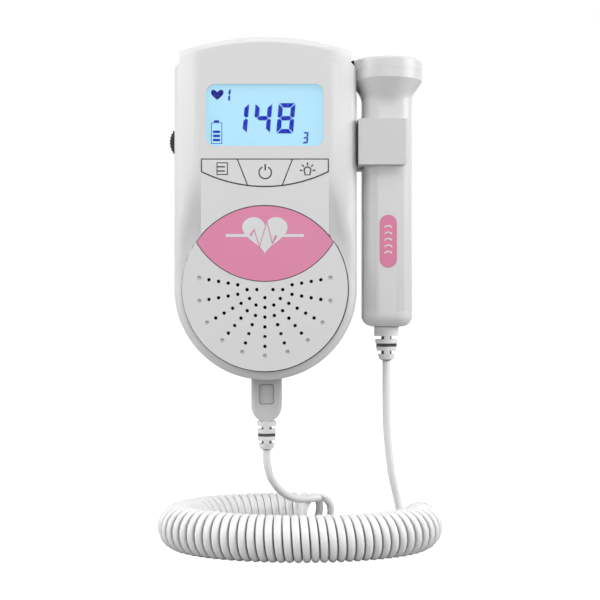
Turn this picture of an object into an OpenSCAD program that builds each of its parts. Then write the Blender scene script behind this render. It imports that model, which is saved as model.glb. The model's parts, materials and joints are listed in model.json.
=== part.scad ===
// Pocket fetal doppler monitor with a clip-on probe, a plug and a curly cord.
// Frame: +Z up, +X to the viewer's right, front face towards -Y.
// The origin is the centre of the flat rear face, at the unit's mid-height.
// "Depth" is the distance in front of the rear face, so depth d lies at Y = -d.

/* [Unit] */
// Height of the main unit
unit_h = 135; // [130:1:165]
// Width of the main unit
unit_w = 71.6; // [70:0.1:86]
// Depth of the main unit, rear face to front face
unit_d = 35; // [35:0.5:42]
// Depth of the parting plane between the two shells
parting_d = 24; // [24:0.5:26]
// Radius of the arched top edge
top_arch_r = 104; // [90:1:140]
// Wall thickness of both shells
wall = 2.2; // [1.6:0.1:2.6]
// Half-width of the flat front face between the side bevels
face_half_w = 26.3; // [25:0.1:28]
// How far the front face falls away towards the sides
bevel_drop = 5.2; // [4:0.1:6]

/* [Shoulder notches] */
// Half-width of the unit inside a notch
notch_half_w = 33.3; // [32:0.1:34]
// Distance from the unit's top down to the notch's lower corner
notch_drop = 13.5; // [10:0.5:20]
// Rise of the slanted lower edge of a notch
notch_slant = 2.2; // [1:0.1:4]

/* [Speaker disc] */
// Radius of the raised disc
disc_r = 31.9; // [26:0.1:32]
// How far the disc's face stands above the hollow around it
disc_step = 5.2; // [4:0.1:5.6]
// Thickness of the disc's face
disc_wall = 1.6; // [1.2:0.1:2]
// Radius of a sound hole
sound_hole_r = 0.68; // [0.5:0.02:0.8]
// Radius of the first ring of sound holes
ring_first_r = 3.1; // [2.5:0.1:3.5]
// Distance between rings of sound holes
ring_step = 3.75; // [3.4:0.05:3.9]
// Half-width of the raised neck above the disc
neck_half_w = 24.6; // [23:0.1:25]
// Distance from the disc's centre to where the hollow around it runs out
scoop_r = 49; // [44:1:56]

/* [Badge] */
// Radius of the badge's lower edge
badge_lower_r = 30.6; // [28:0.1:34]
// Height of the badge's corners above the disc's centre
badge_corner_rise = 17.8; // [15:0.1:19]
// Thickness of the badge
badge_t = 0.9; // [0.6:0.1:1.2]

/* [Display] */
// Width of the display opening
display_w = 45.4; // [40:0.1:48]
// Height of the display opening
display_h = 23.9; // [20:0.1:26]
// Corner radius of the display opening
display_corner_r = 3.7; // [2:0.1:5]
// Distance from the unit's top to the display opening's top edge
display_drop = 20.4; // [18:0.1:24]
// Thickness of the clear window
window_t = 1; // [0.8:0.1:1.4]

/* [Keys] */
// Width across the three keys
keys_w = 49.2; // [44:0.1:49.6]
// Gap between the display opening and the keys
keys_gap = 4.8; // [4:0.1:8]
// Height of the keys at their outer ends
key_end_h = 5.2; // [4:0.1:7]
// Height of the keys at the middle
key_mid_h = 11; // [9:0.1:12]
// Half-width of the middle key along its top edge
key_mid_top = 10.7; // [9:0.1:13]
// Half-width of the middle key along its bottom edge
key_mid_bottom = 6.4; // [5:0.1:9]
// Gap around each key
key_gap = 0.45; // [0.25:0.05:0.5]
// Travel of a key
key_travel = 0.6; // [0.4:0.1:0.8]

/* [Volume wheel] */
// Radius of the wheel
wheel_r = 7.3; // [6.5:0.1:8.8]
// Thickness of the wheel
wheel_t = 4; // [3:0.1:4.4]
// How far the wheel stands out of the unit's side
wheel_out = 2.1; // [1.4:0.1:2.4]
// Distance from the display's centre down to the wheel's centre
wheel_drop = 8.9; // [4:0.1:12]
// Number of grip grooves
wheel_grooves = 36; // [24:1:48]

/* [Sockets] */
// Radius of the headphone jack's bore
jack_bore_r = 1.8; // [1.75:0.01:1.85]
// Distance from the wheel's centre down to the headphone jack
jack_drop = 18.3; // [16:0.1:20]
// Depth of the plug and its socket
plug_d = 11.5; // [10:0.5:13]

/* [Batteries] */
// Radius of a battery
cell_r = 7.25; // [7:0.05:7.25]
// Length of a battery
cell_l = 50.5; // [44:0.5:50.5]

/* [Probe] */
// Width of the probe's handle
handle_w = 19.5; // [16:0.1:21]
// Corner radius of the handle's section
handle_corner_r = 6.6; // [5:0.1:8]
// Length of the probe from the handle's lower end to the head's rim
handle_l = 96.9; // [80:0.1:117]
// Distance from the unit's top down to the head's rim
head_drop = 17; // [14:0.1:20]
// Radius of the probe's head
head_r = 14.05; // [12:0.05:14.5]
// Height of the collar below the cap
collar_h = 3.7; // [3:0.1:5]
// Height of the cap
cap_h = 4.3; // [3.6:0.1:6]
// Depth of the probe's axis
probe_d = 19.4; // [18:0.1:21]
// Gap between the unit's side and the handle
probe_gap = 2.35; // [2:0.05:3]
// Wall thickness of the handle
handle_wall = 1.8; // [1.4:0.1:2.4]

/* [Probe holder] */
// Height of the holder
holder_h = 17.8; // [12:0.1:24]
// Distance from the unit's top down to the holder's upper edge
holder_drop = 33.2; // [30:0.1:40]
// Thickness of the holder's arms
arm_t = 2.95; // [2:0.05:3.2]
// Clearance between the holder and the handle
holder_gap = 0.3; // [0.3:0.05:0.6]

/* [Cord] */
// Diameter of the cord
cord_d = 3.2; // [2.4:0.1:3.4]
// Outer radius of the curly stretch
curl_r = 9; // [8:0.1:10]

/* [Hidden] */
$fn = 64;

half_w = unit_w / 2;
top_z = unit_h / 2;
lower_z = half_w - top_z;       // centre of the round lower end
disc_rise = 0.2;                // the disc sits this much above that centre
disc_z = lower_z + disc_rise;
rim_d = unit_d - disc_step;     // depth of the hollow at the disc's edge
edge_d = unit_d - bevel_drop;   // depth where the bevel would meet the side wall
display_z = top_z - display_drop - display_h / 2;
keys_top = display_z - display_h / 2 - keys_gap;
keys_z = keys_top - key_mid_h;  // lowest point of the keys
wheel_z = display_z - wheel_drop;
wheel_x = wheel_r - wheel_out - half_w;
jack_z = wheel_z - jack_drop;
head_z = top_z - head_drop;
handle_z = head_z - handle_l;   // lower end of the handle
holder_z = top_z - holder_drop - holder_h;
probe_x = half_w + probe_gap + handle_w / 2;
clear = 0.15;                   // gap between pieces that fit together
far = 200;                      // longer than anything that is cut
eps = 0.01;

// ---------------------------------------------------------------- helpers

// Draws a front-view outline between two depths.
module slab(d0, d1) {
    translate([0, -d0, 0]) rotate([90, 0, 0]) linear_extrude(d1 - d0) children();
}

// Turns a profile of [radius, depth] points about an axis that runs front to back.
module revolve_y(x, z) {
    translate([x, 0, z]) rotate([90, 0, 0]) rotate_extrude($fn = 96) children();
}

// A cylinder that runs front to back.
module rod_y(x, z, r, d0, d1) {
    translate([x, -d0, z]) rotate([90, 0, 0]) cylinder(r = r, h = d1 - d0);
}

// A rectangle with true round corners.
module round_rect(w, h, r) {
    square([w - 2 * r, h], center = true);
    square([w, h - 2 * r], center = true);
    for (sx = [-1, 1], sz = [-1, 1])
        translate([sx * (w / 2 - r), sz * (h / 2 - r)]) circle(r, $fn = 48);
}

// The unit's front-view outline without its notches, drawn in by an inset.
module convex_outline(inset = 0, from_z = -far) {
    intersection() {
        union() {
            translate([0, lower_z]) circle(half_w - inset, $fn = 96);
            intersection() {
                translate([-half_w + inset, lower_z]) square([2 * (half_w - inset), far]);
                translate([0, top_z - top_arch_r]) circle(top_arch_r - inset, $fn = 240);
            }
        }
        translate([-far, from_z]) square([2 * far, 2 * far]);
    }
}

// What the two shoulder notches take away, by the same inset.
module notches(inset = 0) {
    low = top_z - notch_drop;
    for (s = [-1, 1])
        polygon([
            [s * (half_w + 1 - inset), low - notch_slant * 0.42 - inset],
            [s * (notch_half_w - inset), low + notch_slant - inset],
            [s * (notch_half_w + 0.4 - inset), top_z],
            [s * (half_w + 9), top_z],
            [s * (half_w + 9), low - notch_slant * 0.42 - inset]]);
}

// The probe's head and its clearance, which both shells make room for.
head_gap = 0.5;
module head_room(gap) {
    translate([probe_x, -probe_d, head_z - (head_r - handle_w / 2) - 3 * gap])
        cylinder(r = head_r + gap, h = far, $fn = 96);
}

function along(points, i) =
    let (a = points[max(i - 1, 0)], b = points[min(i + 1, len(points) - 1)]) (b - a) / norm(b - a);

// Sweeps a round section of radius r along points; ref is any direction the path never takes.
module sweep(points, r, sides, ref) {
    n = len(points);
    rings = [for (i = [0 : n - 1])
        let (t = along(points, i), c = cross(ref, t), u = c / norm(c), v = cross(t, u))
        for (k = [0 : sides - 1]) points[i] + r * (u * cos(360 * k / sides) + v * sin(360 * k / sides))];
    walls = [for (i = [0 : n - 2], k = [0 : sides - 1])
        let (m = (k + 1) % sides, low = i * sides, high = low + sides)
        each [[low + k, high + k, high + m], [low + k, high + m, low + m]]];
    first = [for (k = [0 : sides - 1]) k];
    last = [for (k = [sides - 1 : -1 : 0]) (n - 1) * sides + k];
    polyhedron(points = rings, faces = concat(walls, [first, last]), convexity = 10);
}

// ---------------------------------------------------------------- front cover

pocket_d = rim_d - 0.6;         // seat of the disc
seat_t = 1.2;                   // thickness of that seat
inside_d = pocket_d - seat_t;   // depth of the lower half's ceiling
ceiling_d = unit_d - wall - 1.6;
window_lip = 0.5;               // edge of the cover in front of the window
window_seat_d = unit_d - window_lip;
speaker_opening_r = disc_r - 7.4;
boss_r = 3.6;
boss_hole_r = 1.5;
boss_hole_top = pocket_d - 1.2;
top_boss = [25.5, top_z - 14.5];
low_boss = [20, lower_z - 18.3];

edge_round = 2.2;               // width and depth of the outer edge's rounding
edge_round_d = 5.2;
bevel_slope = bevel_drop / (half_w - face_half_w);
roll_slope = 4.6;               // steepness of the roll along the arched top
roll_w = 3.4;                   // width of that roll
neck_inset = half_w - neck_half_w;

// The lower of two heights, with the corner between them rounded over a height of k.
function soft_min(a, b, k) = min(a, b) - pow(max(k - abs(a - b), 0), 2) / (4 * k);

// Depth of the side bevel at a distance v inside the outline, with its round outer edge.
function bevel_depth(v) = let (into = min(max(v / edge_round, 0), 1))
    edge_d + bevel_slope * v - edge_round_d * (1 - sqrt(1 - pow(1 - into, 2)));

// Depth of the roll along the top edge.
function roll_depth(v) = soft_min(parting_d + 0.3 + roll_slope * v, unit_d + 0.4 * (v - roll_w), 4);

// Depth of the hollow at a distance r from the disc's centre.
function scoop_depth(r) = rim_d + disc_step * pow(max(r - disc_r, 0) / (scoop_r - disc_r), 0.9);

// Depth of the skin at a point of the front view.
function skin_depth(p) =
    let (side_v = half_w - (p.y < lower_z ? norm([p.x, p.y - lower_z]) : abs(p.x)),
        top_v = top_arch_r - norm([p.x, p.y - top_z + top_arch_r]),
        edge = soft_min(bevel_depth(side_v), roll_depth(top_v), 0.8))
    soft_min(soft_min(edge, scoop_depth(norm([p.x, p.y - disc_z])), 1.2), unit_d, 0.6);

// The unit's outline drawn in by v: the lower half circle, a side, the arched top, a side.
function inset_ring(v) =
    let (r = half_w - v, top_r = top_arch_r - v, top_a = asin(r / top_r), centre_z = top_z - top_arch_r,
        corner_z = centre_z + top_r * cos(top_a), arcs = 44, sides = 16, tops = 20)
    concat([for (k = [0 : arcs]) [-r * cos(180 * k / arcs), lower_z - r * sin(180 * k / arcs)]],
        [for (k = [1 : sides]) [r, lower_z + (corner_z - lower_z) * k / sides]],
        [for (k = [1 : tops]) let (a = top_a * (1 - 2 * k / tops))
            [top_r * sin(a), centre_z + top_r * cos(a)]],
        [for (k = [1 : sides - 1]) [-r, corner_z - (corner_z - lower_z) * k / sides]]);

// The skin runs from the outline to the neck's side, at these distances inside the outline.
skin_steps = concat([for (a = [0 : 18 : 90]) edge_round * (1 - cos(a))],
    [for (f = [0.08, 0.16, 0.28, 0.42, 0.6, 0.74, 0.8, 0.87, 1])
        edge_round + (neck_inset + 0.1 - edge_round) * f]);

// Joins closed rings of as many points each, in turn, into one ring-shaped solid.
module ring_solid(rings) {
    n = len(rings[0]);
    polyhedron(points = [for (ring = rings) each ring],
        faces = [for (j = [0 : len(rings) - 1], k = [0 : n - 1])
            let (low = n * j, high = n * ((j + 1) % len(rings)), m = (k + 1) % n)
            each [[low + k, high + k, high + m], [low + k, high + m, low + m]]], convexity = 10);
}

module front_outer() {
    function at_depth(ring, d) = [for (p = ring) [p.x, -d, p.y]];
    ring_solid(concat([at_depth(inset_ring(0), parting_d)],
        [for (v = skin_steps) [for (p = inset_ring(v)) [p.x, -skin_depth(p), p.y]]],
        [at_depth(inset_ring(skin_steps[len(skin_steps) - 1]), parting_d)]));
    slab(parting_d, unit_d) convex_outline(neck_inset);
}

module screw_places() {
    for (s = [-1, 1], p = [top_boss, low_boss]) translate([s * p.x, 0, p.y]) children();
}

module display_opening(grow) {
    translate([0, display_z])
        round_rect(display_w + 2 * grow, display_h + 2 * grow, display_corner_r + grow);
}

// The outline shared by the three keys: straight on top, an arc below.
module key_area(grow = 0) {
    sag = key_mid_h - key_end_h;
    arc_r = (pow(keys_w / 2, 2) + sag * sag) / (2 * sag);
    intersection() {
        translate([-keys_w / 2 - grow, keys_z - grow]) square([keys_w + 2 * grow, key_mid_h + 2 * grow]);
        translate([0, keys_z + arc_r]) circle(arc_r + grow, $fn = 180);
    }
}

module wheel_room() {
    rod_y(wheel_x, wheel_z, wheel_r + 0.6, wheel_d0 - 0.5, wheel_d0 + wheel_t + 0.5);
}

side_wall = wall + 1;           // side wall of the lower half
upper_wall = wall + 1.6;        // side wall beside the display

// The room inside the front cover, around the screw bosses and the wall behind the probe's head.
module front_cavity() difference() {
    union() {
        slab(0, inside_d) convex_outline(side_wall);
        slab(0, edge_d - 0.8) convex_outline(upper_wall, keys_z + 2);
        slab(0, ceiling_d) convex_outline(upper_wall + 3.7, keys_z + 2);
        // the neck's own hollow, above the disc's seat
        slab(0, ceiling_d) difference() {
            convex_outline(neck_inset + wall, disc_z);
            translate([0, disc_z]) circle(disc_r + wall, $fn = 96);
        }
    }
    screw_places() rotate([90, 0, 0]) cylinder(r = boss_r, h = far);
    head_room(wall);
}

module front_cover() color("gainsboro") difference() {
    front_outer();
    front_cavity();
    slab(0, window_seat_d) display_opening(1.7);
    slab(0, unit_d - 2) translate([0, keys_top - key_mid_h / 2 + 0.6])
        square([keys_w + 0.8, key_mid_h + 3], center = true);
    slab(0, far) display_opening(0);
    slab(0, far) key_area();
    rod_y(0, disc_z, disc_r + clear, pocket_d, far);
    rod_y(0, disc_z, speaker_opening_r, 0, far);
    screw_places() rotate([90, 0, 0]) cylinder(r = boss_hole_r, h = boss_hole_top);
    slab(0, far) notches();
    head_room(head_gap);
    wheel_room();
    rod_y(wheel_x, wheel_z, pot_r + board_gap, parting_d, board_d + board_gap);
}

// ---------------------------------------------------------------- rear cover and battery door

bay_half_w = 2 * cell_r + 1.5;
bay_l = cell_l + 7.5;
bay_z = lower_z - 12.3;         // lower end of the battery bay
door_t = 1.8;
bay_d = door_t + 2 * cell_r + 1.1;
bay_wall = 1.2;
door_side = 2.4;                // how far the door reaches past the bay at its sides
door_half_w = bay_half_w + door_side;
door_z0 = bay_z - 3;
door_z1 = bay_z + bay_l + 2;
ledge_t = 1.2;                  // ledge that the door lies on
screw_seat_d = 6;
jack_d = parting_d - 2.5;
jack_nose_r = 2.35;
wheel_d0 = parting_d - 3.6;     // rear face of the wheel
plug_w = 12.2;
plug_t = 7;
plug_shell_w = 7.8;
plug_shell_t = 3;

rear_roll_w = 6.5;              // width and depth of the roll round the rear edge
rear_roll_d = 21;

module rear_outer() hull()
    for (a = [0 : 15 : 90])
        slab(rear_roll_d * (1 - sin(a)), parting_d) convex_outline(rear_roll_w * (1 - cos(a)));

module bay_outline(grow = 0) {
    translate([-bay_half_w - grow, bay_z - grow]) square([2 * (bay_half_w + grow), bay_l + 2 * grow]);
}

module door_outline(gap = 0) {
    translate([0, (door_z0 + door_z1) / 2])
        round_rect(2 * (door_half_w - gap), door_z1 - door_z0 - 2 * gap, 2.5 - gap);
}

hook_x = 9;
hook_w = 6;
hook_reach = 2;                 // how far a hook goes under the cover
hook_sweep_r = norm([hook_reach, door_t + ledge_t]) + 0.3;

// Two hooks at the door's upper edge, which it turns about.
module door_hooks() {
    for (s = [-1, 1])
        slab(door_t - eps, door_t + ledge_t)
            translate([s * hook_x - hook_w / 2, door_z1 - 1.6]) square([hook_w, 1.6 + hook_reach]);
}

// The room that the hooks sweep as the door opens.
module hook_pockets() {
    for (s = [-1, 1]) intersection() {
        translate([s * hook_x - hook_w / 2 - 0.3, 0, door_z1]) rotate([0, 90, 0])
            cylinder(r = hook_sweep_r, h = hook_w + 0.6);
        translate([-far, -far, -far]) cube([2 * far, far - door_t + eps, 2 * far]);
    }
}

// The springy tongue at the door's lower edge and, grown, the pocket that holds it.
module door_catch(grow) {
    slab(door_t - eps, door_t + 2.4 + grow) translate([0, door_z0 + 1.2])
        square([10 + 2 * grow, 1.2 + 2 * grow], center = true);
}

module rear_cover() color("whitesmoke") difference() {
    intersection() {
        rear_outer();
        union() {
            difference() {
                slab(0, parting_d) square([2 * far, 2 * far], center = true);
                hull() {
                    slab(8, far) convex_outline(wall + 0.8);
                    slab(wall, far) convex_outline(wall + 5.8);
                }
            }
            slab(0, bay_d + bay_wall) bay_outline(bay_wall);
            slab(0, door_t + ledge_t + 0.8) door_outline(-1.6);
            screw_places() rotate([90, 0, 0]) cylinder(r = boss_r + 0.6, h = parting_d);
            head_room(wall);
            translate([half_w - 6.5, -parting_d, holder_z - 1]) cube([6.5, parting_d, holder_h + 2]);
        }
    }
    slab(-1, bay_d) bay_outline();
    slab(-1, door_t) door_outline();
    hook_pockets();
    door_catch(0.3);
    screw_places() rotate([90, 0, 0]) cylinder(r = boss_hole_r + 0.1, h = far);
    screw_places() rotate([90, 0, 0]) cylinder(r = 2.9, h = screw_seat_d);
    slab(-1, far) notches();
    head_room(head_gap);
    wheel_room();
    holder_foot(clear);
    translate([-half_w - 1, -jack_d, jack_z]) rotate([0, 90, 0])
        cylinder(r = jack_nose_r + 0.05, h = 5);
    translate([-plug_shell_w / 2 - 0.4, -plug_d - plug_shell_t / 2 - 0.4, -top_z - 1])
        cube([plug_shell_w + 0.8, plug_shell_t + 0.8, 6]);
}

module battery_door() color("whitesmoke") difference() {
    union() {
        slab(0, door_t) door_outline(0.2);
        door_hooks();
        door_catch(0);
    }
    // finger grip over the catch
    for (i = [0 : 4]) translate([-6, 0.35, door_z0 + 4 + 1.5 * i]) rotate([0, 90, 0])
        cylinder(r = 0.6, h = 12, $fn = 24);
}

// ---------------------------------------------------------------- speaker disc and badge

badge_corner_x = sqrt(disc_r * disc_r - badge_corner_rise * badge_corner_rise);
badge_lower_z = disc_z + badge_corner_rise
    + sqrt(badge_lower_r * badge_lower_r - badge_corner_x * badge_corner_x);

// The lens between the disc's edge and the badge's lower arc.
module badge_outline(grow = 0) {
    intersection() {
        translate([0, disc_z]) circle(disc_r + grow, $fn = 180);
        translate([0, badge_lower_z]) circle(badge_lower_r + grow, $fn = 180);
    }
}

// Angles of the sound holes of one ring, counted from straight down.
function hole_angles(ring) =
    ring == 0 ? [-90, 0, 90] : ring == 1 ? [for (a = [-90 : 30 : 90]) a] : [for (a = [-100 : 20 : 100]) a];

// The outermost ring stays this far inside the disc's edge.
hole_margin = 6;
last_ring = floor((disc_r - hole_margin - ring_first_r) / ring_step + 0.001);

holes_z = disc_z - 0.5;         // centre of the rings of holes

module on_ring(ring) {
    for (a = hole_angles(ring))
        translate([(ring_first_r + ring_step * ring) * sin(a), 0,
            holes_z - (ring_first_r + ring_step * ring) * cos(a)]) children();
}

module speaker_grille() color("gainsboro") difference() {
    union() {
        rod_y(0, disc_z, disc_r, unit_d - disc_wall, unit_d);
        difference() {
            rod_y(0, disc_z, disc_r, pocket_d, unit_d - disc_wall);
            rod_y(0, disc_z, disc_r - 2, 0, unit_d - disc_wall);
        }
    }
    slab(unit_d - badge_t, far) badge_outline(0.1);
    for (ring = [0 : last_ring - 1]) on_ring(ring) rotate([90, 0, 0])
        cylinder(r = sound_hole_r, h = far, $fn = 24);
    // a last ring of shallow blind dimples
    on_ring(last_ring) translate([0, -unit_d - 0.7, 0]) sphere(1.2, $fn = 24);
}

module badge() color("palevioletred")
    slab(unit_d - badge_t + 0.02, unit_d + 0.02) badge_outline();

// ---------------------------------------------------------------- display

lcd_t = 1.5;
window_d = window_seat_d - window_t;
lcd_d = window_d - 0.2 - lcd_t;
board_d = parting_d + 2;
board_t = 1.6;

module display_window() color("powderblue", 0.5)
    slab(window_d, window_seat_d) display_opening(1.5);

module lcd_panel() color("lightskyblue")
    slab(lcd_d, lcd_d + lcd_t) display_opening(1.2);

module lcd_backlight() color("white")
    slab(board_d + board_t, lcd_d) display_opening(0.8);

// ---------------------------------------------------------------- keys

key_d0 = board_d + board_t + 4;
key_d1 = unit_d + 0.3;

// One key: side -1 is the left one, 0 the middle one, 1 the right one.
module key_outline(side) {
    g = key_gap / 2;
    intersection() {
        key_area(-key_gap);
        if (side == 0)
            polygon([[-key_mid_top + g, keys_top], [key_mid_top - g, keys_top],
                [key_mid_bottom - g, keys_z], [g - key_mid_bottom, keys_z]]);
        else
            polygon([[side * (key_mid_top + g), keys_top], [side * keys_w, keys_top],
                [side * keys_w, keys_z], [side * (key_mid_bottom + g), keys_z]]);
    }
}

module key(side) {
    lip_x = side * (keys_w + 2 * key_mid_top) / 4;
    slab(key_d0, key_d1) key_outline(side);
    // the lip that keeps the key from falling out of the front
    slab(key_d0, unit_d - 2 - key_gap) translate([lip_x, keys_top])
        square([10, 2], center = true);
}

module mode_button() color("gainsboro") key(-1);
module power_button() color("gainsboro") key(0);
module light_button() color("gainsboro") key(1);

switch_x = (keys_w / 2 + key_mid_bottom) / 2 + 1;
switch_z = keys_z + 5.6;

module tact_switches() color("dimgray")
    for (side = [-1, 0, 1]) {
        translate([side * switch_x - 3, -board_d - board_t - 2.4, switch_z - 3]) cube([6, 2.4, 6]);
        rod_y(side * switch_x, switch_z, 1.6, board_d + board_t + 2.4, key_d0 - key_travel - 0.1);
    }

// ---------------------------------------------------------------- board, wheel and sockets

board_half_w = half_w - 11.8;
board_gap = 0.3;                // between the board and the cover's side wall
pot_r = 3.6;
shaft_r = 1.55;

module main_board() color("darkgreen")
    slab(board_d, board_d + board_t) {
        translate([-board_half_w, keys_z - 4.4])
            square([2 * board_half_w, display_z + display_h / 2 + 1.4 - keys_z + 4.4]);
        // the tab that carries the wheel's potentiometer
        translate([upper_wall + board_gap - half_w, wheel_z - 6.5]) square([board_half_w, 13]);
    }

module volume_pot() color("silver") {
    rod_y(wheel_x, wheel_z, pot_r, wheel_d0 + wheel_t + 0.2, board_d);
    rod_y(wheel_x, wheel_z, shaft_r, wheel_d0, wheel_d0 + wheel_t + 0.2 + eps);
}

module volume_wheel() color("black") difference() {
    union() {
        rod_y(wheel_x, wheel_z, wheel_r, wheel_d0 + 0.5, wheel_d0 + wheel_t - 0.5);
        rod_y(wheel_x, wheel_z, wheel_r - 0.5, wheel_d0, wheel_d0 + wheel_t);
    }
    rod_y(wheel_x, wheel_z, shaft_r + 0.05, 0, far);
    for (i = [1 : wheel_grooves])
        rod_y(wheel_x + wheel_r * cos(360 * i / wheel_grooves),
            wheel_z + wheel_r * sin(360 * i / wheel_grooves), 0.35, 0, far, $fn = 16);
}

module headphone_jack() color("dimgray") difference() {
    union() {
        translate([-half_w + 4, -board_d, jack_z - 3.5]) cube([12, board_d - jack_d + 3.4, 7]);
        translate([-half_w + 0.6, -jack_d, jack_z]) rotate([0, 90, 0]) cylinder(r = jack_nose_r, h = 4);
    }
    translate([-half_w, -jack_d, jack_z]) rotate([0, 90, 0]) cylinder(r = jack_bore_r, h = 15);
}

module probe_socket() color("dimgray") difference() {
    translate([-6, -plug_d - 3.5, wall - top_z + 1.5]) cube([12, 7, 8]);
    translate([-plug_shell_w / 2 - 0.2, -plug_d - plug_shell_t / 2 - 0.2, -far])
        cube([plug_shell_w + 0.4, plug_shell_t + 0.4, far - top_z + 9.6]);
}

// ---------------------------------------------------------------- speaker

basket_r = speaker_opening_r - 3.5;
cone_r = basket_r - 2.1;
basket_d = board_d - 1;
speaker_d = unit_d - disc_wall - 0.2;

module speaker_frame() color("darkgray") revolve_y(0, disc_z)
    polygon([[cone_r + 0.1, speaker_d], [basket_r, speaker_d], [basket_r, speaker_d - 2.2],
        [10, basket_d], [8, basket_d], [8, basket_d + 0.8], [9.6, basket_d + 0.8],
        [cone_r + 0.1, speaker_d - 1.9]]);

module speaker_cone() color("black") revolve_y(0, disc_z)
    polygon([[0, speaker_d - 3.2], [4, speaker_d - 4.4], [5, speaker_d - 5],
        [cone_r - 2, speaker_d - 1.4], [cone_r - 1, speaker_d - 0.8], [cone_r, speaker_d - 1.2],
        [cone_r, speaker_d - 1.8], [cone_r - 2, speaker_d - 2], [5, speaker_d - 5.6],
        [5, basket_d + 1], [0, basket_d + 1]]);

module speaker_magnet() color("silver") {
    rod_y(0, disc_z, 9, basket_d - 4.5, basket_d);
    rod_y(0, disc_z, 4.4, basket_d - eps, basket_d + 0.9);
}

// ---------------------------------------------------------------- batteries

cell_d = door_t + cell_r + 0.6;
cell_x = cell_r + 0.4;
contact_t = 0.4;
cell_nub = 1.3;
cell_top = bay_z + bay_l - contact_t - 0.1;

// Cell 1 lies with its nub up, cell -1 with its nub down; both end below the top contact.
module cell(way) {
    body_l = cell_l - cell_nub;
    low = cell_top - cell_l;
    translate([way * cell_x, -cell_d, 0]) {
        translate([0, 0, way > 0 ? low : low + cell_nub]) cylinder(r = cell_r, h = body_l);
        translate([0, 0, way > 0 ? low + body_l - eps : low]) cylinder(r = 2.7, h = cell_nub + eps);
    }
}

module batteries() color("darkslateblue") {
    cell(1);
    cell(-1);
}

spring_turns = 4;
spring_room = bay_l - 2 * contact_t - cell_l - 0.2;

module battery_springs() color("silver")
    for (s = [-1, 1]) translate([s * cell_x, -cell_d, bay_z + contact_t + 0.35])
        sweep([for (i = [0 : 8 * spring_turns]) let (f = i / (8 * spring_turns))
            [(4.6 - 1.8 * f) * cos(45 * i), (4.6 - 1.8 * f) * sin(45 * i), (spring_room - 0.7) * f]],
            0.3, 4, [0, 0, 1]);

module battery_contacts() color("silver") {
    translate([-bay_half_w + 1, -cell_d - 5, bay_z + bay_l - contact_t])
        cube([2 * bay_half_w - 2, 10, contact_t]);
    for (s = [-1, 1]) translate([s * cell_x - 5.5, -cell_d - 5.5, bay_z]) cube([11, 11, contact_t]);
}

screw_l = boss_hole_top - 1.2 - screw_seat_d;

module cover_screws() color("silver") screw_places() rotate([90, 0, 0]) difference() {
    union() {
        translate([0, 0, screw_seat_d - 1.8]) cylinder(r = 2.6, h = 1.8);
        translate([0, 0, screw_seat_d - eps]) cylinder(r = boss_hole_r - 0.1, h = screw_l);
    }
    // cross recess of the screw head
    translate([0, 0, screw_seat_d - 1.8]) {
        cube([3, 0.6, 1.6], center = true);
        cube([0.6, 3, 1.6], center = true);
    }
}

// ---------------------------------------------------------------- probe holder

handle_half = handle_w / 2;

// The handle's section, seen from above, about the probe's axis.
module handle_section(grow = 0) {
    round_rect(handle_w + 2 * grow, handle_w + 2 * grow, handle_corner_r + grow);
}

// The foot that the holder is fixed by: it drops into a slot in the rear cover's side,
// and the front cover shuts the slot.
module holder_foot(grow) {
    foot_d0 = probe_d - 5 - grow;
    foot_d1 = parting_d - clear + grow;
    translate([half_w - 3.2 - grow, -foot_d1, holder_z + 2 - grow])
        cube([4.2 + grow, foot_d1 - foot_d0, holder_h - 4 + 2 * grow]);
}

holder_w = 19.4;                // how far the arms reach to the side
holder_x = half_w + 0.3;

corner_cut = 1.6;

module probe_holder() color("lightgray") {
    inner = handle_half + holder_gap;
    outer = inner + arm_t;
    difference() {
        translate([0, 0, holder_z]) linear_extrude(holder_h) difference() {
            translate([holder_x, -probe_d - outer]) {
                translate([1.5, 0]) square([holder_w - 2.6, 2 * outer]);
                translate([0, 1.5]) square([holder_w, 2 * outer - 3]);
                for (x = [1.5, holder_w - 1.5], y = [1.5, 2 * outer - 1.5])
                    translate([x, y]) circle(1.5, $fn = 32);
            }
            translate([probe_x, -probe_d]) handle_section(holder_gap);
            translate([probe_x, -probe_d - inner + 1.1]) square([far, 2 * inner - 2.2]);
        }
        // the lower free corners are cut off
        translate([holder_x + holder_w, -probe_d, holder_z])
            rotate([0, 45, 0]) cube([corner_cut, far, corner_cut], center = true);
    }
    holder_foot(0);
}

// ---------------------------------------------------------------- probe

neck_z = head_z - 10.6;         // the handle's section starts to flare here
cone_side_drop = 6.1;           // how far the head's cone reaches down at the sides
cone_front_drop = 9.1;          // and at the front and back, where it ends in a tongue
cone_blend = 0.25;              // softness of the cone's lower end
head_wall = 1.9;
head_room_z = head_z - 0.5;     // floor of the hollow in the head
cap_z = head_z + collar_h;
cap_t = 1.5;
cap_round = 1;
cord_hole_r = 3;

// Turns a profile of [radius, height] points about the probe's axis.
module probe_turn() {
    translate([probe_x, -probe_d, 0]) rotate_extrude($fn = 96) children();
}

// Distance from the probe's axis to the handle's side, in the direction a.
function handle_reach(a) =
    let (c = handle_half - handle_corner_r,
        q = max(abs(cos(a)), abs(sin(a))), p = min(abs(cos(a)), abs(sin(a))))
    p / q <= c / handle_half ? handle_half / q
        : c * (p + q) + sqrt(handle_corner_r * handle_corner_r - pow(c * (q - p), 2));

// Distance from the axis to the flare's skin, in the direction a at a height z.
function flare_reach(a, z) =
    let (drop = cone_side_drop + (cone_front_drop - cone_side_drop) * pow(abs(sin(a)), 8))
    handle_reach(a) - (head_r - handle_reach(a)) * soft_min((head_z - z) / drop - 1, 0, cone_blend);

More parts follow.
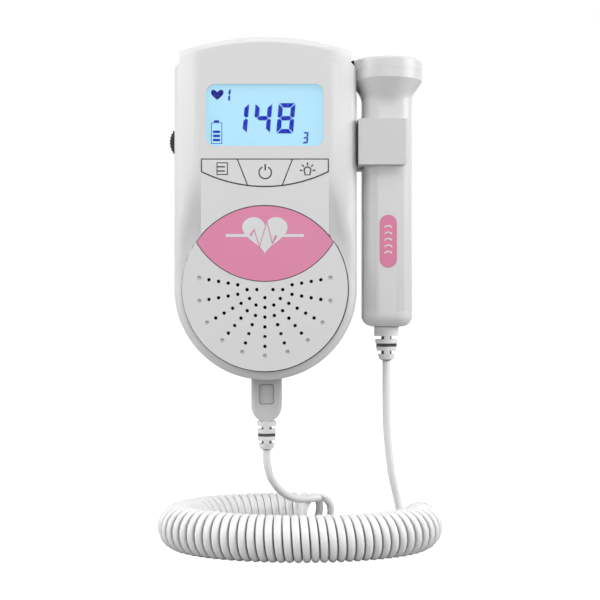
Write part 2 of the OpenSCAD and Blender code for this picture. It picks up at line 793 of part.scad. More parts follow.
// The flare from the handle's rounded square to the head's circle, hollow for the wires.
module flare(bore_r) {
    steps = 12;
    sides = 48;
    turns = [for (k = [0 : sides - 1]) 360 * k / sides];
    translate([probe_x, -probe_d, 0]) ring_solid(concat(
        [for (i = [0 : steps]) let (z = neck_z + (head_z - neck_z) * i / steps)
            [for (a = turns) let (r = flare_reach(a, z)) [r * cos(a), r * sin(a), z]]],
        [for (z = [head_z, neck_z]) [for (a = turns) [bore_r * cos(a), bore_r * sin(a), z]]]));
}

module probe_handle() color("gainsboro") difference() {
    translate([probe_x, -probe_d, 0]) {
        hull() {
            translate([0, 0, handle_z]) linear_extrude(1) handle_section(-3.4);
            translate([0, 0, handle_z + 0.4]) linear_extrude(1) handle_section(-2.2);
            translate([0, 0, handle_z + 1.3]) linear_extrude(1) handle_section(-1);
            translate([0, 0, handle_z + 3.2]) linear_extrude(1) handle_section(0);
        }
        translate([0, 0, handle_z + 3.2]) linear_extrude(neck_z - handle_z - 3.2) handle_section();
    }
    translate([probe_x, -probe_d, handle_z + 3]) linear_extrude(far) handle_section(-handle_wall);
    translate([probe_x, -probe_d, handle_z - 1]) cylinder(r = cord_hole_r, h = 10);
    // shallow seat of the label
    slab(probe_d + handle_half - 0.15, far) label_outline(0.05);
}

module probe_head() color("gainsboro") difference() {
    union() {
        flare(5);
        translate([probe_x, -probe_d, head_z - eps])
            cylinder(r1 = head_r - 0.15, r2 = head_r, h = collar_h + eps, $fn = 96);
    }
    translate([probe_x, -probe_d, head_room_z]) cylinder(r = head_r - head_wall, h = far);
    translate([probe_x, -probe_d, 0]) cylinder(r = 6, h = far);
}

module probe_cap() color("gainsboro") probe_turn() difference() {
    union() {
        translate([0, cap_z]) square([head_r, cap_h - cap_round]);
        translate([0, cap_z]) square([head_r - cap_round, cap_h]);
        translate([head_r - cap_round, cap_z + cap_h - cap_round]) circle(cap_round, $fn = 48);
    }
    translate([-1, cap_z - 1]) square([head_r - head_wall + 1, cap_h - cap_t + 1]);
    translate([-far, 0]) square([far, far]);
}

crystal_t = 0.7;
crystal_z = cap_z + cap_h - cap_t - crystal_t - 0.1;

module probe_crystals() color("silver") difference() {
    translate([probe_x, -probe_d, crystal_z]) cylinder(r = head_r - head_wall - 1, h = crystal_t);
    translate([probe_x - 0.5, -probe_d - head_r, crystal_z - 1]) cube([1, 2 * head_r, 3]);
}

module probe_damper() color("dimgray")
    translate([probe_x, -probe_d, head_room_z]) cylinder(r = head_r - head_wall - 0.2,
        h = crystal_z - head_room_z);

module probe_board() color("darkgreen")
    translate([probe_x - handle_half + handle_wall + 0.3, -probe_d - 0.8, handle_z + 20])
        cube([handle_w - 2 * handle_wall - 0.6, 1.6, handle_l - 34]);

label_w = 6.7;
label_h = 20.6;
label_z = handle_z + 33.3;

module label_outline(grow = 0) {
    translate([probe_x, label_z])
        round_rect(label_w + 2 * grow, label_h + 2 * grow, label_w / 2 + grow - eps);
}

module probe_label() color("palevioletred")
    slab(probe_d + handle_half - 0.15, probe_d + handle_half + 0.1) label_outline();

// ---------------------------------------------------------------- strain reliefs

relief_row_h = 1.35;            // height of one row of slots
relief_ring_h = 1.55;           // height of the ring between two rows
relief_tip_h = 2.15;
relief_core_r = 1.95;
relief_web_w = 2.3;             // webs that tie the rings together
relief_l = 3 * relief_row_h + 2 * relief_ring_h + relief_tip_h;

// A tapered boot below the origin, slotted on alternate sides, with a collar of its own height.
module strain_relief(collar_r, collar_l, tip_r) {
    row = relief_row_h + relief_ring_h;
    difference() {
        union() {
            translate([0, 0, -collar_l]) cylinder(r = collar_r, h = collar_l);
            translate([0, 0, -collar_l - relief_l + relief_tip_h])
                cylinder(r1 = tip_r + 0.2, r2 = collar_r - 0.1, h = relief_l - relief_tip_h);
            translate([0, 0, -collar_l - relief_l])
                cylinder(r1 = tip_r - 0.6, r2 = tip_r, h = relief_tip_h);
        }
        for (i = [0 : 2]) translate([0, 0, -collar_l - row * i - relief_row_h / 2]) difference() {
            cube([20, 20, relief_row_h], center = true);
            rotate([0, 0, 90 * (i + 1)]) cube([20, relief_web_w, far], center = true);
            cylinder(r = relief_core_r, h = far, center = true);
        }
    }
}

probe_collar_l = 3.9;
plug_collar_l = 3.1;

module probe_strain_relief() color("whitesmoke") {
    translate([probe_x, -probe_d, handle_z]) strain_relief(4.85, probe_collar_l, 3.4);
    translate([probe_x, -probe_d, handle_z - eps]) cylinder(r = cord_hole_r - 0.1, h = 3.4);
    translate([probe_x, -probe_d, handle_z + 3.1]) cylinder(r = 4.4, h = 1.4);
}

// ---------------------------------------------------------------- plug

plug_top = -top_z - 0.1;
plug_l = 17.4;
plug_side_l = 11.3;             // straight sides, before the round end
plug_mark_w = 5.9;
plug_mark_h = 8;

module plug_outline() {
    translate([-plug_w / 2, plug_top - plug_side_l]) square([plug_w, plug_side_l]);
    translate([0, plug_top - plug_side_l]) circle(plug_w / 2);
}

module plug_body() color("whitesmoke") difference() {
    union() {
        slab(plug_d - plug_t / 2 + 1, plug_d + plug_t / 2 - 1) plug_outline();
        intersection() {
            slab(plug_d - plug_t / 2, plug_d + plug_t / 2) plug_outline();
            translate([0, -plug_d, -far]) linear_extrude(2 * far) round_rect(plug_w, plug_t, 2);
        }
    }
    slab(plug_d + plug_t / 2 - 0.7, far)
        translate([0, plug_top - 6.3]) round_rect(plug_mark_w, plug_mark_h, 1);
}

module plug_shell() color("silver")
    translate([-plug_shell_w / 2, -plug_d - plug_shell_t / 2, plug_top])
        cube([plug_shell_w, plug_shell_t, 9]);

module plug_strain_relief() color("whitesmoke")
    translate([0, -plug_d, plug_top - plug_l]) difference() {
        translate([0, 0, 1.2]) strain_relief(3.9, plug_collar_l, 3.3);
        translate([-20, -20, 0]) cube([40, 40, 20]);
    }

// ---------------------------------------------------------------- cord

// Route of the lead below the plug, chosen by hand.
plug_route = [[0, -11.5, -96.2], [0, -11.5, -99.5], [0.3, -11.3, -103], [1.8, -10, -108.5],
    [5.6, -7, -114], [10.6, -2.8, -117.6], [16, 2.2, -119.6], [19.5, 5, -120.8]];
// Route of the lead below the probe, chosen by hand.
probe_route = [[47.9, -19.4, -59.6], [47.9, -19.4, -66], [47.9, -19.3, -74], [48, -19, -82],
    [48.4, -18.4, -90], [49.2, -17.6, -98], [50.3, -16.4, -106], [52, -14.4, -113],
    [53.4, -12.9, -119], [53.8, -12.4, -123]];
// The curly stretch lies on an oval, open at the right, and its rear end turns to the front.
curl_centre = [13.5, -14.4, -126.7];
curl_a = 48.2;
curl_b = 25.7;
curl_end_a = 14.5;
curl_from = 55;
curl_to = 370;

module cord_plug_end() color("whitesmoke") sweep(plug_route, cord_d / 2, 8, [0, 1, 0]);
module cord_probe_end() color("whitesmoke") sweep(probe_route, cord_d / 2, 8, [0, 1, 0]);

module cord_coil() color("whitesmoke")
    sweep([for (i = [0 : 37]) let (t = curl_from + (curl_to - curl_from) * i / 37)
        curl_centre + [(t < 90 ? curl_end_a : curl_a) * cos(t), curl_b * sin(t), 0]], curl_r, 10, [0, 0, 1]);

front_cover();
rear_cover();
battery_door();
speaker_grille();
badge();
display_window();
lcd_panel();
lcd_backlight();
mode_button();
power_button();
light_button();
volume_wheel();
volume_pot();
main_board();
tact_switches();
speaker_frame();
speaker_cone();
speaker_magnet();
probe_socket();
headphone_jack();
batteries();
battery_springs();
battery_contacts();
cover_screws();
probe_holder();
probe_handle();
probe_head();
probe_cap();
probe_crystals();
probe_damper();
probe_board();
probe_label();
probe_strain_relief();
plug_body();
plug_shell();
plug_strain_relief();
cord_plug_end();
cord_coil();
cord_probe_end();
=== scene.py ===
import json
import math

import bmesh
import bpy
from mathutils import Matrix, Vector
from mathutils.kdtree import KDTree


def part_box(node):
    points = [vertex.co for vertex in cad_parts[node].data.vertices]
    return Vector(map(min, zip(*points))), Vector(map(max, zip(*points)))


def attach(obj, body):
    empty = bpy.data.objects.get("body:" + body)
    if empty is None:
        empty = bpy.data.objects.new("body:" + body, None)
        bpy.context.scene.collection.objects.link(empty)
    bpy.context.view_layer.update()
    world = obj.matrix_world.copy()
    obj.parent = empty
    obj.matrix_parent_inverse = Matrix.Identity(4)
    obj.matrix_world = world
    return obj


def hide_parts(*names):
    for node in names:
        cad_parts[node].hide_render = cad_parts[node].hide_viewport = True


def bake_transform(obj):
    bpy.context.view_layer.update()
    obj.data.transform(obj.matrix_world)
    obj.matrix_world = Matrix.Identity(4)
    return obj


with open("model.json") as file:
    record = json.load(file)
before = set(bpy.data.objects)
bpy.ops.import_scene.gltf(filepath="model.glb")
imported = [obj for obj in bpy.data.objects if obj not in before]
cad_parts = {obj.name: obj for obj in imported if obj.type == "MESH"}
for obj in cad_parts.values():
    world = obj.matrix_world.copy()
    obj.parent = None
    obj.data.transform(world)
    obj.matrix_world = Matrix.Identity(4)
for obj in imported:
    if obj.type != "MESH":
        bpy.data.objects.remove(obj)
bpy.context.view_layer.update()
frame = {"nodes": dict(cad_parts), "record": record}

# ------------------------------------------------------------------ studio
# The camera stands level, in front of the unit and a little to its right, half a metre away.
# The lens follows from the photograph: 1130 px of focal length in a 600 px wide frame.
# Two big soft boxes light the sides, one the top, and a weak one the front.
MM = 0.001
FRAME_PX = 600
FOCAL_PX = 1130
CAMERA_AT = Vector((13.5, -469.4, -36.0)) * MM
FLOOR_Z = -135.7 * MM

camera_data = bpy.data.cameras.new("studio_camera")
camera_data.sensor_width = 36.0
camera_data.lens = 36.0 * FOCAL_PX / FRAME_PX
camera_data.clip_start = 0.01
camera_data.clip_end = 20.0
camera = bpy.data.objects.new("studio_camera", camera_data)
camera.location = CAMERA_AT
camera.rotation_euler = (math.radians(90), 0, 0)
bpy.context.scene.collection.objects.link(camera)
bpy.context.scene.camera = camera
bpy.context.scene.view_settings.view_transform = "Standard"


def soft_box(name, place, size, watts):
    """A square area lamp that looks at the origin."""
    lamp = bpy.data.lights.new(name, "AREA")
    lamp.shape = "SQUARE"
    lamp.size = size
    lamp.energy = watts
    box = bpy.data.objects.new(name, lamp)
    box.location = place
    box.rotation_euler = (-Vector(place)).to_track_quat("-Z", "Y").to_euler()
    bpy.context.scene.collection.objects.link(box)


soft_box("left_box", (-0.80, -0.27, 0.38), 0.6, 6.0)
soft_box("right_box", (0.86, -0.22, 0.38), 0.6, 6.9)
soft_box("top_box", (0.0, -0.45, 0.75), 0.6, 2.8)
soft_box("front_box", (0.15, -1.0, -0.05), 0.8, 2.6)

world = bpy.data.worlds.new("studio_white")
bpy.context.scene.world = world
world.use_nodes = True
nodes, links = world.node_tree.nodes, world.node_tree.links
nodes.clear()
AMBIENT = 0.12                  # the light that reaches the object; what is only seen stays white
sight = nodes.new("ShaderNodeLightPath")
looking = sight.outputs["Is Camera Ray"]
for kind in ("Is Transmission Ray", "Is Glossy Ray"):
    either = nodes.new("ShaderNodeMath")
    either.operation = "MAXIMUM"
    links.new(looking, either.inputs[0])
    links.new(sight.outputs[kind], either.inputs[1])
    looking = either.outputs[0]
level = nodes.new("ShaderNodeMapRange")
level.inputs["To Min"].default_value = AMBIENT
level.inputs["To Max"].default_value = 1.0
links.new(looking, level.inputs["Value"])
sky = nodes.new("ShaderNodeBackground")
sky.inputs["Color"].default_value = (1, 1, 1, 1)
links.new(level.outputs["Result"], sky.inputs["Strength"])
out = nodes.new("ShaderNodeOutputWorld")
links.new(sky.outputs[0], out.inputs["Surface"])

bpy.ops.object.select_all(action="DESELECT")
bpy.ops.mesh.primitive_plane_add(size=8, location=(0, 0, FLOOR_Z))
floor = bpy.context.object
floor.name = "floor"
paper = bpy.data.materials.new("white_paper")
paper.use_nodes = True
nodes, links = paper.node_tree.nodes, paper.node_tree.links
# A mid grey in truth, so that it throws little light back up at the cord.
nodes["Principled BSDF"].inputs["Base Color"].default_value = (0.4, 0.4, 0.4, 1)
nodes["Principled BSDF"].inputs["Roughness"].default_value = 0.9
sight = nodes.new("ShaderNodeLightPath")
lift = nodes.new("ShaderNodeEmission")          # the camera sees the paper as plain white
lift.inputs["Color"].default_value = (1, 1, 1, 1)
links.new(sight.outputs["Is Camera Ray"], lift.inputs["Strength"])
both = nodes.new("ShaderNodeAddShader")
links.new(nodes["Principled BSDF"].outputs[0], both.inputs[0])
links.new(lift.outputs[0], both.inputs[1])
links.new(both.outputs[0], nodes["Material Output"].inputs["Surface"])
floor.data.materials.append(paper)

# ------------------------------------------------------------------ moulded plastic
# Every shell is injection-moulded ABS with a fine satin grain. The grain is one shader group,
# and each plastic gives it its own colour, gloss and grain size.


def grain_group():
    """Colour, roughness and height of a fine moulded grain, from a base colour and roughness."""
    group = bpy.data.node_groups.new("moulded_grain", "ShaderNodeTree")
    face = group.interface
    face.new_socket("Colour", in_out="INPUT", socket_type="NodeSocketColor")
    for name, value in (("Shift", 0.02), ("Roughness", 0.4), ("Grain per metre", 4000)):
        face.new_socket(name, in_out="INPUT", socket_type="NodeSocketFloat").default_value = value
    face.new_socket("Colour", in_out="OUTPUT", socket_type="NodeSocketColor")
    for name in ("Roughness", "Height"):
        face.new_socket(name, in_out="OUTPUT", socket_type="NodeSocketFloat")
    nodes, links = group.nodes, group.links
    given = nodes.new("NodeGroupInput")
    made = nodes.new("NodeGroupOutput")
    place = nodes.new("ShaderNodeTexCoord")
    fine = nodes.new("ShaderNodeTexNoise")
    fine.inputs["Detail"].default_value = 4
    links.new(place.outputs["Object"], fine.inputs["Vector"])
    links.new(given.outputs["Grain per metre"], fine.inputs["Scale"])
    broad = nodes.new("ShaderNodeTexNoise")
    broad.inputs["Scale"].default_value = 45
    broad.inputs["Detail"].default_value = 2
    links.new(place.outputs["Object"], broad.inputs["Vector"])
    centred = nodes.new("ShaderNodeMath")
    centred.operation = "SUBTRACT"
    centred.inputs[1].default_value = 0.5
    links.new(broad.outputs["Fac"], centred.inputs[0])
    shift = nodes.new("ShaderNodeMath")
    shift.operation = "MULTIPLY_ADD"
    shift.inputs[2].default_value = 1
    links.new(centred.outputs[0], shift.inputs[0])
    links.new(given.outputs["Shift"], shift.inputs[1])
    tint = nodes.new("ShaderNodeVectorMath")
    tint.operation = "SCALE"
    links.new(given.outputs["Colour"], tint.inputs[0])
    links.new(shift.outputs[0], tint.inputs["Scale"])
    links.new(tint.outputs[0], made.inputs["Colour"])
    gloss = nodes.new("ShaderNodeMath")
    gloss.operation = "MULTIPLY_ADD"
    gloss.inputs[1].default_value = 0.12
    links.new(centred.outputs[0], gloss.inputs[0])
    links.new(given.outputs["Roughness"], gloss.inputs[2])
    links.new(gloss.outputs[0], made.inputs["Roughness"])
    links.new(fine.outputs["Fac"], made.inputs["Height"])
    return group


GRAIN = grain_group()


def from_hex(code):
    """A linear colour from the sRGB code that it shows as."""
    parts = [int(code[i : i + 2], 16) / 255 for i in (0, 2, 4)]
    return tuple(c / 12.92 if c <= 0.04045 else ((c + 0.055) / 1.055) ** 2.4 for c in parts) + (1,)


def plastic(name, colour, roughness=0.42, grain=4000, depth=0.00002, shift=0.03):
    """A moulded plastic: the grain group feeds the shader's colour, roughness and bump."""
    made = bpy.data.materials.new(name)
    made.use_nodes = True
    nodes, links = made.node_tree.nodes, made.node_tree.links
    skin = nodes.new("ShaderNodeGroup")
    skin.node_tree = GRAIN
    skin.inputs["Colour"].default_value = from_hex(colour)
    skin.inputs["Shift"].default_value = shift
    skin.inputs["Roughness"].default_value = roughness
    skin.inputs["Grain per metre"].default_value = grain
    bump = nodes.new("ShaderNodeBump")
    bump.inputs["Strength"].default_value = 0.35
    bump.inputs["Distance"].default_value = depth
    shader = nodes["Principled BSDF"]
    shader.inputs["IOR"].default_value = 1.5
    links.new(skin.outputs["Colour"], shader.inputs["Base Color"])
    links.new(skin.outputs["Roughness"], shader.inputs["Roughness"])
    links.new(skin.outputs["Height"], bump.inputs["Height"])
    links.new(bump.outputs[0], shader.inputs["Normal"])
    return made


def darkened(material, value, start, stop, share, fall="LINEAR"):
    """Darkens a plastic: full colour where a value is at start, and a share of it at stop."""
    nodes, links = material.node_tree.nodes, material.node_tree.links
    fade = nodes.new("ShaderNodeMapRange")
    fade.interpolation_type = fall
    fade.inputs["From Min"].default_value = start
    fade.inputs["From Max"].default_value = stop
    fade.inputs["To Min"].default_value = 1.0
    fade.inputs["To Max"].default_value = share
    links.new(value, fade.inputs["Value"])
    toned = nodes.new("ShaderNodeVectorMath")
    toned.operation = "SCALE"
    links.new(nodes["Group"].outputs["Colour"], toned.inputs[0])
    links.new(fade.outputs["Result"], toned.inputs["Scale"])
    links.new(toned.outputs[0], nodes["Principled BSDF"].inputs["Base Color"])


def height_in(material):
    """The height above the origin, as a socket for a material's nodes."""
    nodes, links = material.node_tree.nodes, material.node_tree.links
    place = nodes.new("ShaderNodeTexCoord")
    parts = nodes.new("ShaderNodeSeparateXYZ")
    links.new(place.outputs["Object"], parts.inputs[0])
    return parts.outputs["Z"]


def dress(node, material):
    """Gives a CAD node its finish."""
    node_materials = frame["nodes"][node].data.materials
    node_materials.clear()
    node_materials.append(material)


# ------------------------------------------------------------------ cord
# One thin white cord runs from the plug to the probe. All but its two ends is wound into a curl,
# which lies under the unit as an oval ring, open at the right. The plug's lead comes down over
# the back of the ring and becomes its first turn, and the probe's lead leaves its last turn.
CORD_D = 3.2 * MM
PLUG_ROUTE = [Vector(p) * MM for p in (
    (0, -11.5, -96.2), (0, -11.5, -99.5), (0.3, -11.3, -103), (1.8, -10, -108.5),
    (5.6, -7, -114), (10.6, -2.8, -117.6), (16, 2.2, -119))]
PROBE_ROUTE = [Vector(p) * MM for p in (
    (47.9, -19.4, -59.6), (47.9, -19.4, -66), (47.9, -19.3, -74), (48, -19, -82),
    (48.4, -18.4, -90), (49.2, -17.6, -98), (50.3, -16.4, -106), (52, -14.4, -113),
    (53.4, -12.9, -119), (53.8, -12.4, -123))]
CURL_CENTRE = Vector((13.5, -14.4, -126.7)) * MM
CURL_A, CURL_B = 48.2 * MM, 25.7 * MM
CURL_END_A = 14.5 * MM          # the open end at the back turns to the front more tightly
CURL_FROM, CURL_TO = math.radians(55), math.radians(370)
CURL_R = 7.5 * MM               # of the cord's own centre line
CURL_PITCH = 3.2 * MM
LOOSE_PITCH = 4.1 * MM          # of the first turns, which have come apart a little
LOOSE_L = 12 * MM
STEPS_A_TURN = 18


def oval(t):
    """A point on the line that the curl is wound round, and the way the line runs there."""
    a = CURL_END_A if t < math.pi / 2 else CURL_A
    return (CURL_CENTRE + Vector((a * math.cos(t), CURL_B * math.sin(t), 0)),
            Vector((-a * math.sin(t), CURL_B * math.cos(t), 0)).normalized())


def curl_path():
    """The curl's own centre line, from the top of its first turn to the inner side of its last."""
    fine = 2400
    angles = [CURL_FROM + (CURL_TO - CURL_FROM) * i / fine for i in range(fine + 1)]
    phase, run = [0.0], 0.0
    for before, after in zip(angles, angles[1:]):
        step = (oval(after)[0] - oval(before)[0]).length
        run += step
        phase.append(phase[-1] + step / (LOOSE_PITCH if run < LOOSE_L else CURL_PITCH))
    turns = math.floor(phase[-1]) + 0.75
    phase = [p * turns / phase[-1] for p in phase]
    path, k = [], 0
    for i in range(round(turns * STEPS_A_TURN) + 1):
        turn = i / STEPS_A_TURN
        while k < fine - 1 and phase[k + 1] < turn:
            k += 1
        part = min((turn - phase[k]) / (phase[k + 1] - phase[k]), 1)
        middle, way = oval(angles[k] + (angles[k + 1] - angles[k]) * part)
        outward = Vector((way.y, -way.x, 0))
        angle = math.tau * turn
        up = Vector((0, 0, 1))
        path.append(middle + CURL_R * (math.cos(angle) * up + math.sin(angle) * outward))
    return path


def smooth_path(points, steps=4):
    """Points on a smooth curve through the given ones."""
    path = []
    for i in range(len(points) - 1):
        before = points[i - 1] if i else points[0] * 2 - points[1]
        after = points[i + 2] if i + 2 < len(points) else points[-1] * 2 - points[-2]
        a, b = points[i], points[i + 1]
        for k in range(steps):
            t = k / steps
            path.append(0.5 * (2 * a + (b - before) * t
                               + (2 * before - 5 * a + 4 * b - after) * t * t
                               + (3 * a - before - 3 * b + after) * t ** 3))
    return path + [points[-1]]


def tube(name, path, radius, sides=12):
    """A round tube along a path, with closed ends; its section is carried along without a twist."""
    bm = bmesh.new()
    side = Vector((0.31, 0.87, 0.38))           # any direction that the path doesn't start in
    rings = []
    for i, place in enumerate(path):
        way = (path[min(i + 1, len(path) - 1)] - path[max(i - 1, 0)]).normalized()
        side = (side - way * side.dot(way)).normalized()
        other = way.cross(side)
        rings.append([bm.verts.new(place + radius * (math.cos(a) * side + math.sin(a) * other))
                      for a in (math.tau * k / sides for k in range(sides))])
    for low, high in zip(rings, rings[1:]):
        for k in range(sides):
            after = (k + 1) % sides
            bm.faces.new((low[k], low[after], high[after], high[k])).smooth = True
    bm.faces.new(list(reversed(rings[0])))
    bm.faces.new(rings[-1])
    mesh = bpy.data.meshes.new(name)
    bm.to_mesh(mesh)
    bm.free()
    piece = bpy.data.objects.new(name, mesh)
    bpy.context.scene.collection.objects.link(piece)
    return piece


def mark_grooves(piece, path, first):
    """Marks where a curl's turns face each other, for the shade painted there, from a tube's ring
    of a given number on.
    """
    groove = piece.data.attributes.new("groove", "FLOAT", "POINT")
    sides = len(piece.data.vertices) // len(path)
    for i in range(first, len(path)):
        ahead, behind = min(i + STEPS_A_TURN, len(path) - 1), max(i - STEPS_A_TURN, first)
        along = (path[ahead] - path[behind]).normalized()
        for k in range(i * sides, (i + 1) * sides):
            out = (piece.data.vertices[k].co - path[i]).normalized()
            groove.data[k].value = abs(out.dot(along))


CORD_WHITE = plastic("white_cord_jacket", "f0f0f0", roughness=0.38, grain=2500, depth=0.00003)
groove = CORD_WHITE.node_tree.nodes.new("ShaderNodeAttribute")
groove.attribute_name = "groove"
# Painted shade: the cord is darkened where its turns face each other, in place of the shadow
# between them.
darkened(CORD_WHITE, groove.outputs["Fac"], 0.7, 1.0, 0.56, fall="SMOOTHSTEP")

curl_line = curl_path()
plug_line = smooth_path(PLUG_ROUTE + curl_line[:2])[:-4]
plug_lead = tube("plug_lead", plug_line, CORD_D / 2)
plug_lead.data.materials.append(CORD_WHITE)
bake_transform(plug_lead)
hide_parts("cord_plug_end")

probe_line = smooth_path(PROBE_ROUTE + [curl_line[-1], curl_line[-2]])[:-4]
curly_line = probe_line + list(reversed(curl_line))[1:]
curly_cord = tube("curly_cord", curly_line, CORD_D / 2)
mark_grooves(curly_cord, curly_line, len(probe_line))
curly_cord.data.materials.append(CORD_WHITE)
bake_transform(curly_cord)
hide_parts("cord_coil", "cord_probe_end")

# ------------------------------------------------------------------ housing
# Two moulded shells meet on a parting line behind the wheel and are held by four screws from
# behind. The mould leaves every sharp edge a little eased, so each shell is a copy of its CAD
# piece, merged and given that small round.


def pick(piece):
    """Makes a piece the active one and the only one selected."""
    bpy.ops.object.select_all(action="DESELECT")
    piece.select_set(True)
    bpy.context.view_layer.objects.active = piece


def pick_faces(piece, chosen):
    """Opens a piece in edit mode with only the chosen faces selected."""
    pick(piece)
    bpy.ops.object.mode_set(mode="EDIT")
    bpy.ops.mesh.select_mode(type="FACE")
    bpy.ops.mesh.select_all(action="DESELECT")
    bpy.ops.object.mode_set(mode="OBJECT")
    for face in piece.data.polygons:
        face.select = chosen(face)
    bpy.ops.object.mode_set(mode="EDIT")


def leave_faces():
    """Goes back to object mode, with edit mode set to vertices again."""
    bpy.ops.mesh.select_mode(type="VERT")
    bpy.ops.object.mode_set(mode="OBJECT")


def finished(piece, name, material, body):
    """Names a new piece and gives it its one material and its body."""
    piece.name = name
    piece.data.materials.clear()
    piece.data.materials.append(material)
    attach(piece, body)
    return piece


def middle(node):
    """The middle of a CAD node's box."""
    low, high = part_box(node)
    return (Vector(low) + Vector(high)) / 2


def mend(piece, kept):
    """Joins a copied CAD mesh's triangles into one skin, and its flat faces where not kept."""
    pick(piece)
    bpy.ops.object.mode_set(mode="EDIT")
    bpy.ops.mesh.select_all(action="SELECT")
    bpy.ops.mesh.remove_doubles(threshold=0.002 * MM)
    if kept:
        bpy.ops.object.mode_set(mode="OBJECT")
        pick_faces(piece, lambda face: not kept(face))
    bpy.ops.mesh.dissolve_limited(angle_limit=math.radians(0.6))
    leave_faces()


def round_edges(piece, radius, angle=30, segments=3):
    """Rounds a piece's edges that are sharper than an angle, and shades the rest smooth."""
    bevel = piece.modifiers.new("eased_edges", "BEVEL")
    bevel.width = radius
    bevel.segments = segments
    bevel.limit_method = "ANGLE"
    bevel.angle_limit = math.radians(angle)
    pick(piece)
    bpy.ops.object.modifier_apply(modifier=bevel.name)
    bpy.ops.object.shade_smooth_by_angle(angle=math.radians(angle + 5))
    even = piece.modifiers.new("even_shading", "WEIGHTED_NORMAL")
    even.keep_sharp = True
    bpy.ops.object.modifier_apply(modifier=even.name)


def body_of(node):
    """The body that carries a CAD node."""
    bodies = frame["record"]["behaviour"]["bodies"]
    return next(body for body, nodes in bodies.items() if node in nodes)


def moulded(node, name, material, radius, angle=30, segments=3, kept=None):
    """A copy of a CAD piece with eased edges, which stands for it on the same body."""
    piece = bpy.data.objects.new(name, frame["nodes"][node].data.copy())
    bpy.context.scene.collection.objects.link(piece)
    mend(piece, kept)
    round_edges(piece, radius, angle, segments)
    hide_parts(node)
    return finished(piece, name, material, body_of(node))


FACE_D = 35 * MM                # depth of the unit's face and of the disc's
BEVEL_FOOT_D = 26 * MM          # depth where the cover's bevel has run out into its side
DISC_R = 31.9 * MM
FLAT = 0.9999                   # how far a normal has to point forwards on a flat face
disc_middle = middle("speaker_grille")


def sculpted(face):
    """Whether a face of the front cover is on its bevel, rolled edge or hollow."""
    across, depth, up = face.center.x, -face.center.y, face.center.z
    return (face.normal.y < -0.15 and BEVEL_FOOT_D < depth < FACE_D - 0.04 * MM
            and math.hypot(across, up - disc_middle.z) > DISC_R + 0.5 * MM)


def even_out(piece, chosen, fine, broad, fine_z, broad_z):
    """Shades the chosen faces of a piece as one skin, and its flat face flat: each corner's normal
    is averaged over a reach, which grows from fine, above fine_z, to broad, below broad_z. Past
    two and a half times the reach a face no longer counts."""
    pick_faces(piece, chosen)
    bpy.ops.mesh.subdivide(number_cuts=1)
    leave_faces()
    mesh = piece.data
    faces = [face for face in mesh.polygons if chosen(face)]
    tree = KDTree(len(faces))
    for i, face in enumerate(faces):
        tree.insert(face.center, i)
    tree.balance()
    evened = {}
    for vertex in {v for face in faces for v in face.vertices}:
        place = mesh.vertices[vertex].co
        share = min(max((fine_z - place.z) / (fine_z - broad_z), 0), 1)
        reach = fine + (broad - fine) * share
        total = Vector((0, 0, 0))
        for _, i, gap in tree.find_range(place, 2.5 * reach):
            total += faces[i].normal * faces[i].area * math.exp(-((gap / reach) ** 2))
        evened[vertex] = total.normalized()
    normals = [corner.vector.copy() for corner in mesh.corner_normals]
    for face in mesh.polygons:
        if face.normal.y < -FLAT:
            for corner in face.loop_indices:
                normals[corner] = face.normal.copy()
    for face in faces:
        for corner in face.loop_indices:
            vertex = mesh.loops[corner].vertex_index
            if evened[vertex].length > 0.5:     # not where the normals cancel out
                normals[corner] = evened[vertex]
    mesh.normals_split_custom_set(normals)


SHELL_WHITE = plastic("satin_white_shell", "dedede")
front_shell = moulded("front_cover", "front_shell", SHELL_WHITE, 0.25 * MM,
                      kept=sculpted)
even_out(front_shell, sculpted, 1.2 * MM, 3 * MM, 24 * MM, 10 * MM)
moulded("rear_cover", "rear_shell", SHELL_WHITE, 0.3 * MM)
moulded("battery_door", "battery_hatch", SHELL_WHITE, 0.25 * MM)

# ------------------------------------------------------------------ sound disc and badge
# The speaker sits behind a round disc with rings of sound holes. Its upper part carries a pink
# lens, printed from behind with a light heart and pulse line, and let in flush; its dark edge is
# painted shade.
disc = moulded("speaker_grille", "sound_disc", SHELL_WHITE, 0.14 * MM, angle=40, segments=2)
# The sloped faces of the holes and dimples get a darker grey: painted shade in their hollows.
disc.data.materials.append(plastic("dimple_painted_shade", "c0c0c0"))
DIMPLE_H = 1.5 * MM             # the rows of holes end in blind dimples, which are no deeper
for face in disc.data.polygons:
    across = math.hypot(face.center.x, face.center.z - disc_middle.z)
    if (FACE_D - DIMPLE_H < -face.center.y < FACE_D - 0.03 * MM and face.normal.y < -0.3
            and across < DISC_R - 1.5 * MM):
        face.material_index = 1


def gap_ring(name, place, radius, wire, steps, sides, material, body, tilt=0.0):
    """A dark ring of wire-like section, put in a round gap as painted shade."""
    bpy.ops.object.select_all(action="DESELECT")
    bpy.ops.mesh.primitive_torus_add(
        major_radius=radius, minor_radius=wire, major_segments=steps, minor_segments=sides,
        location=place, rotation=(tilt, 0, 0))
    bpy.ops.object.transform_apply(location=True, rotation=True, scale=True)
    bpy.ops.object.shade_smooth()
    finished(bpy.context.object, name, material, body)


# A dark ring at the foot of the disc's rim is painted shade of the gap round the disc.
RING_D = 29.75 * MM             # at the foot of the disc's rim
gap_ring("disc_gap_ring", (disc_middle.x, -RING_D, disc_middle.z), 32.35 * MM, 0.42 * MM, 120, 8,
         plastic("dark_gap_shade", "3a3c3d", roughness=0.8, grain=5000), "unit", math.radians(90))


def add_lines(curve, lines, closed):
    """Adds lines of straight steps to a curve."""
    for line in lines:
        spline = curve.splines.new("POLY")
        spline.points.add(len(line) - 1)
        for point, place in zip(spline.points, line):
            point.co = (*place, 1)
        spline.use_cyclic_u = closed


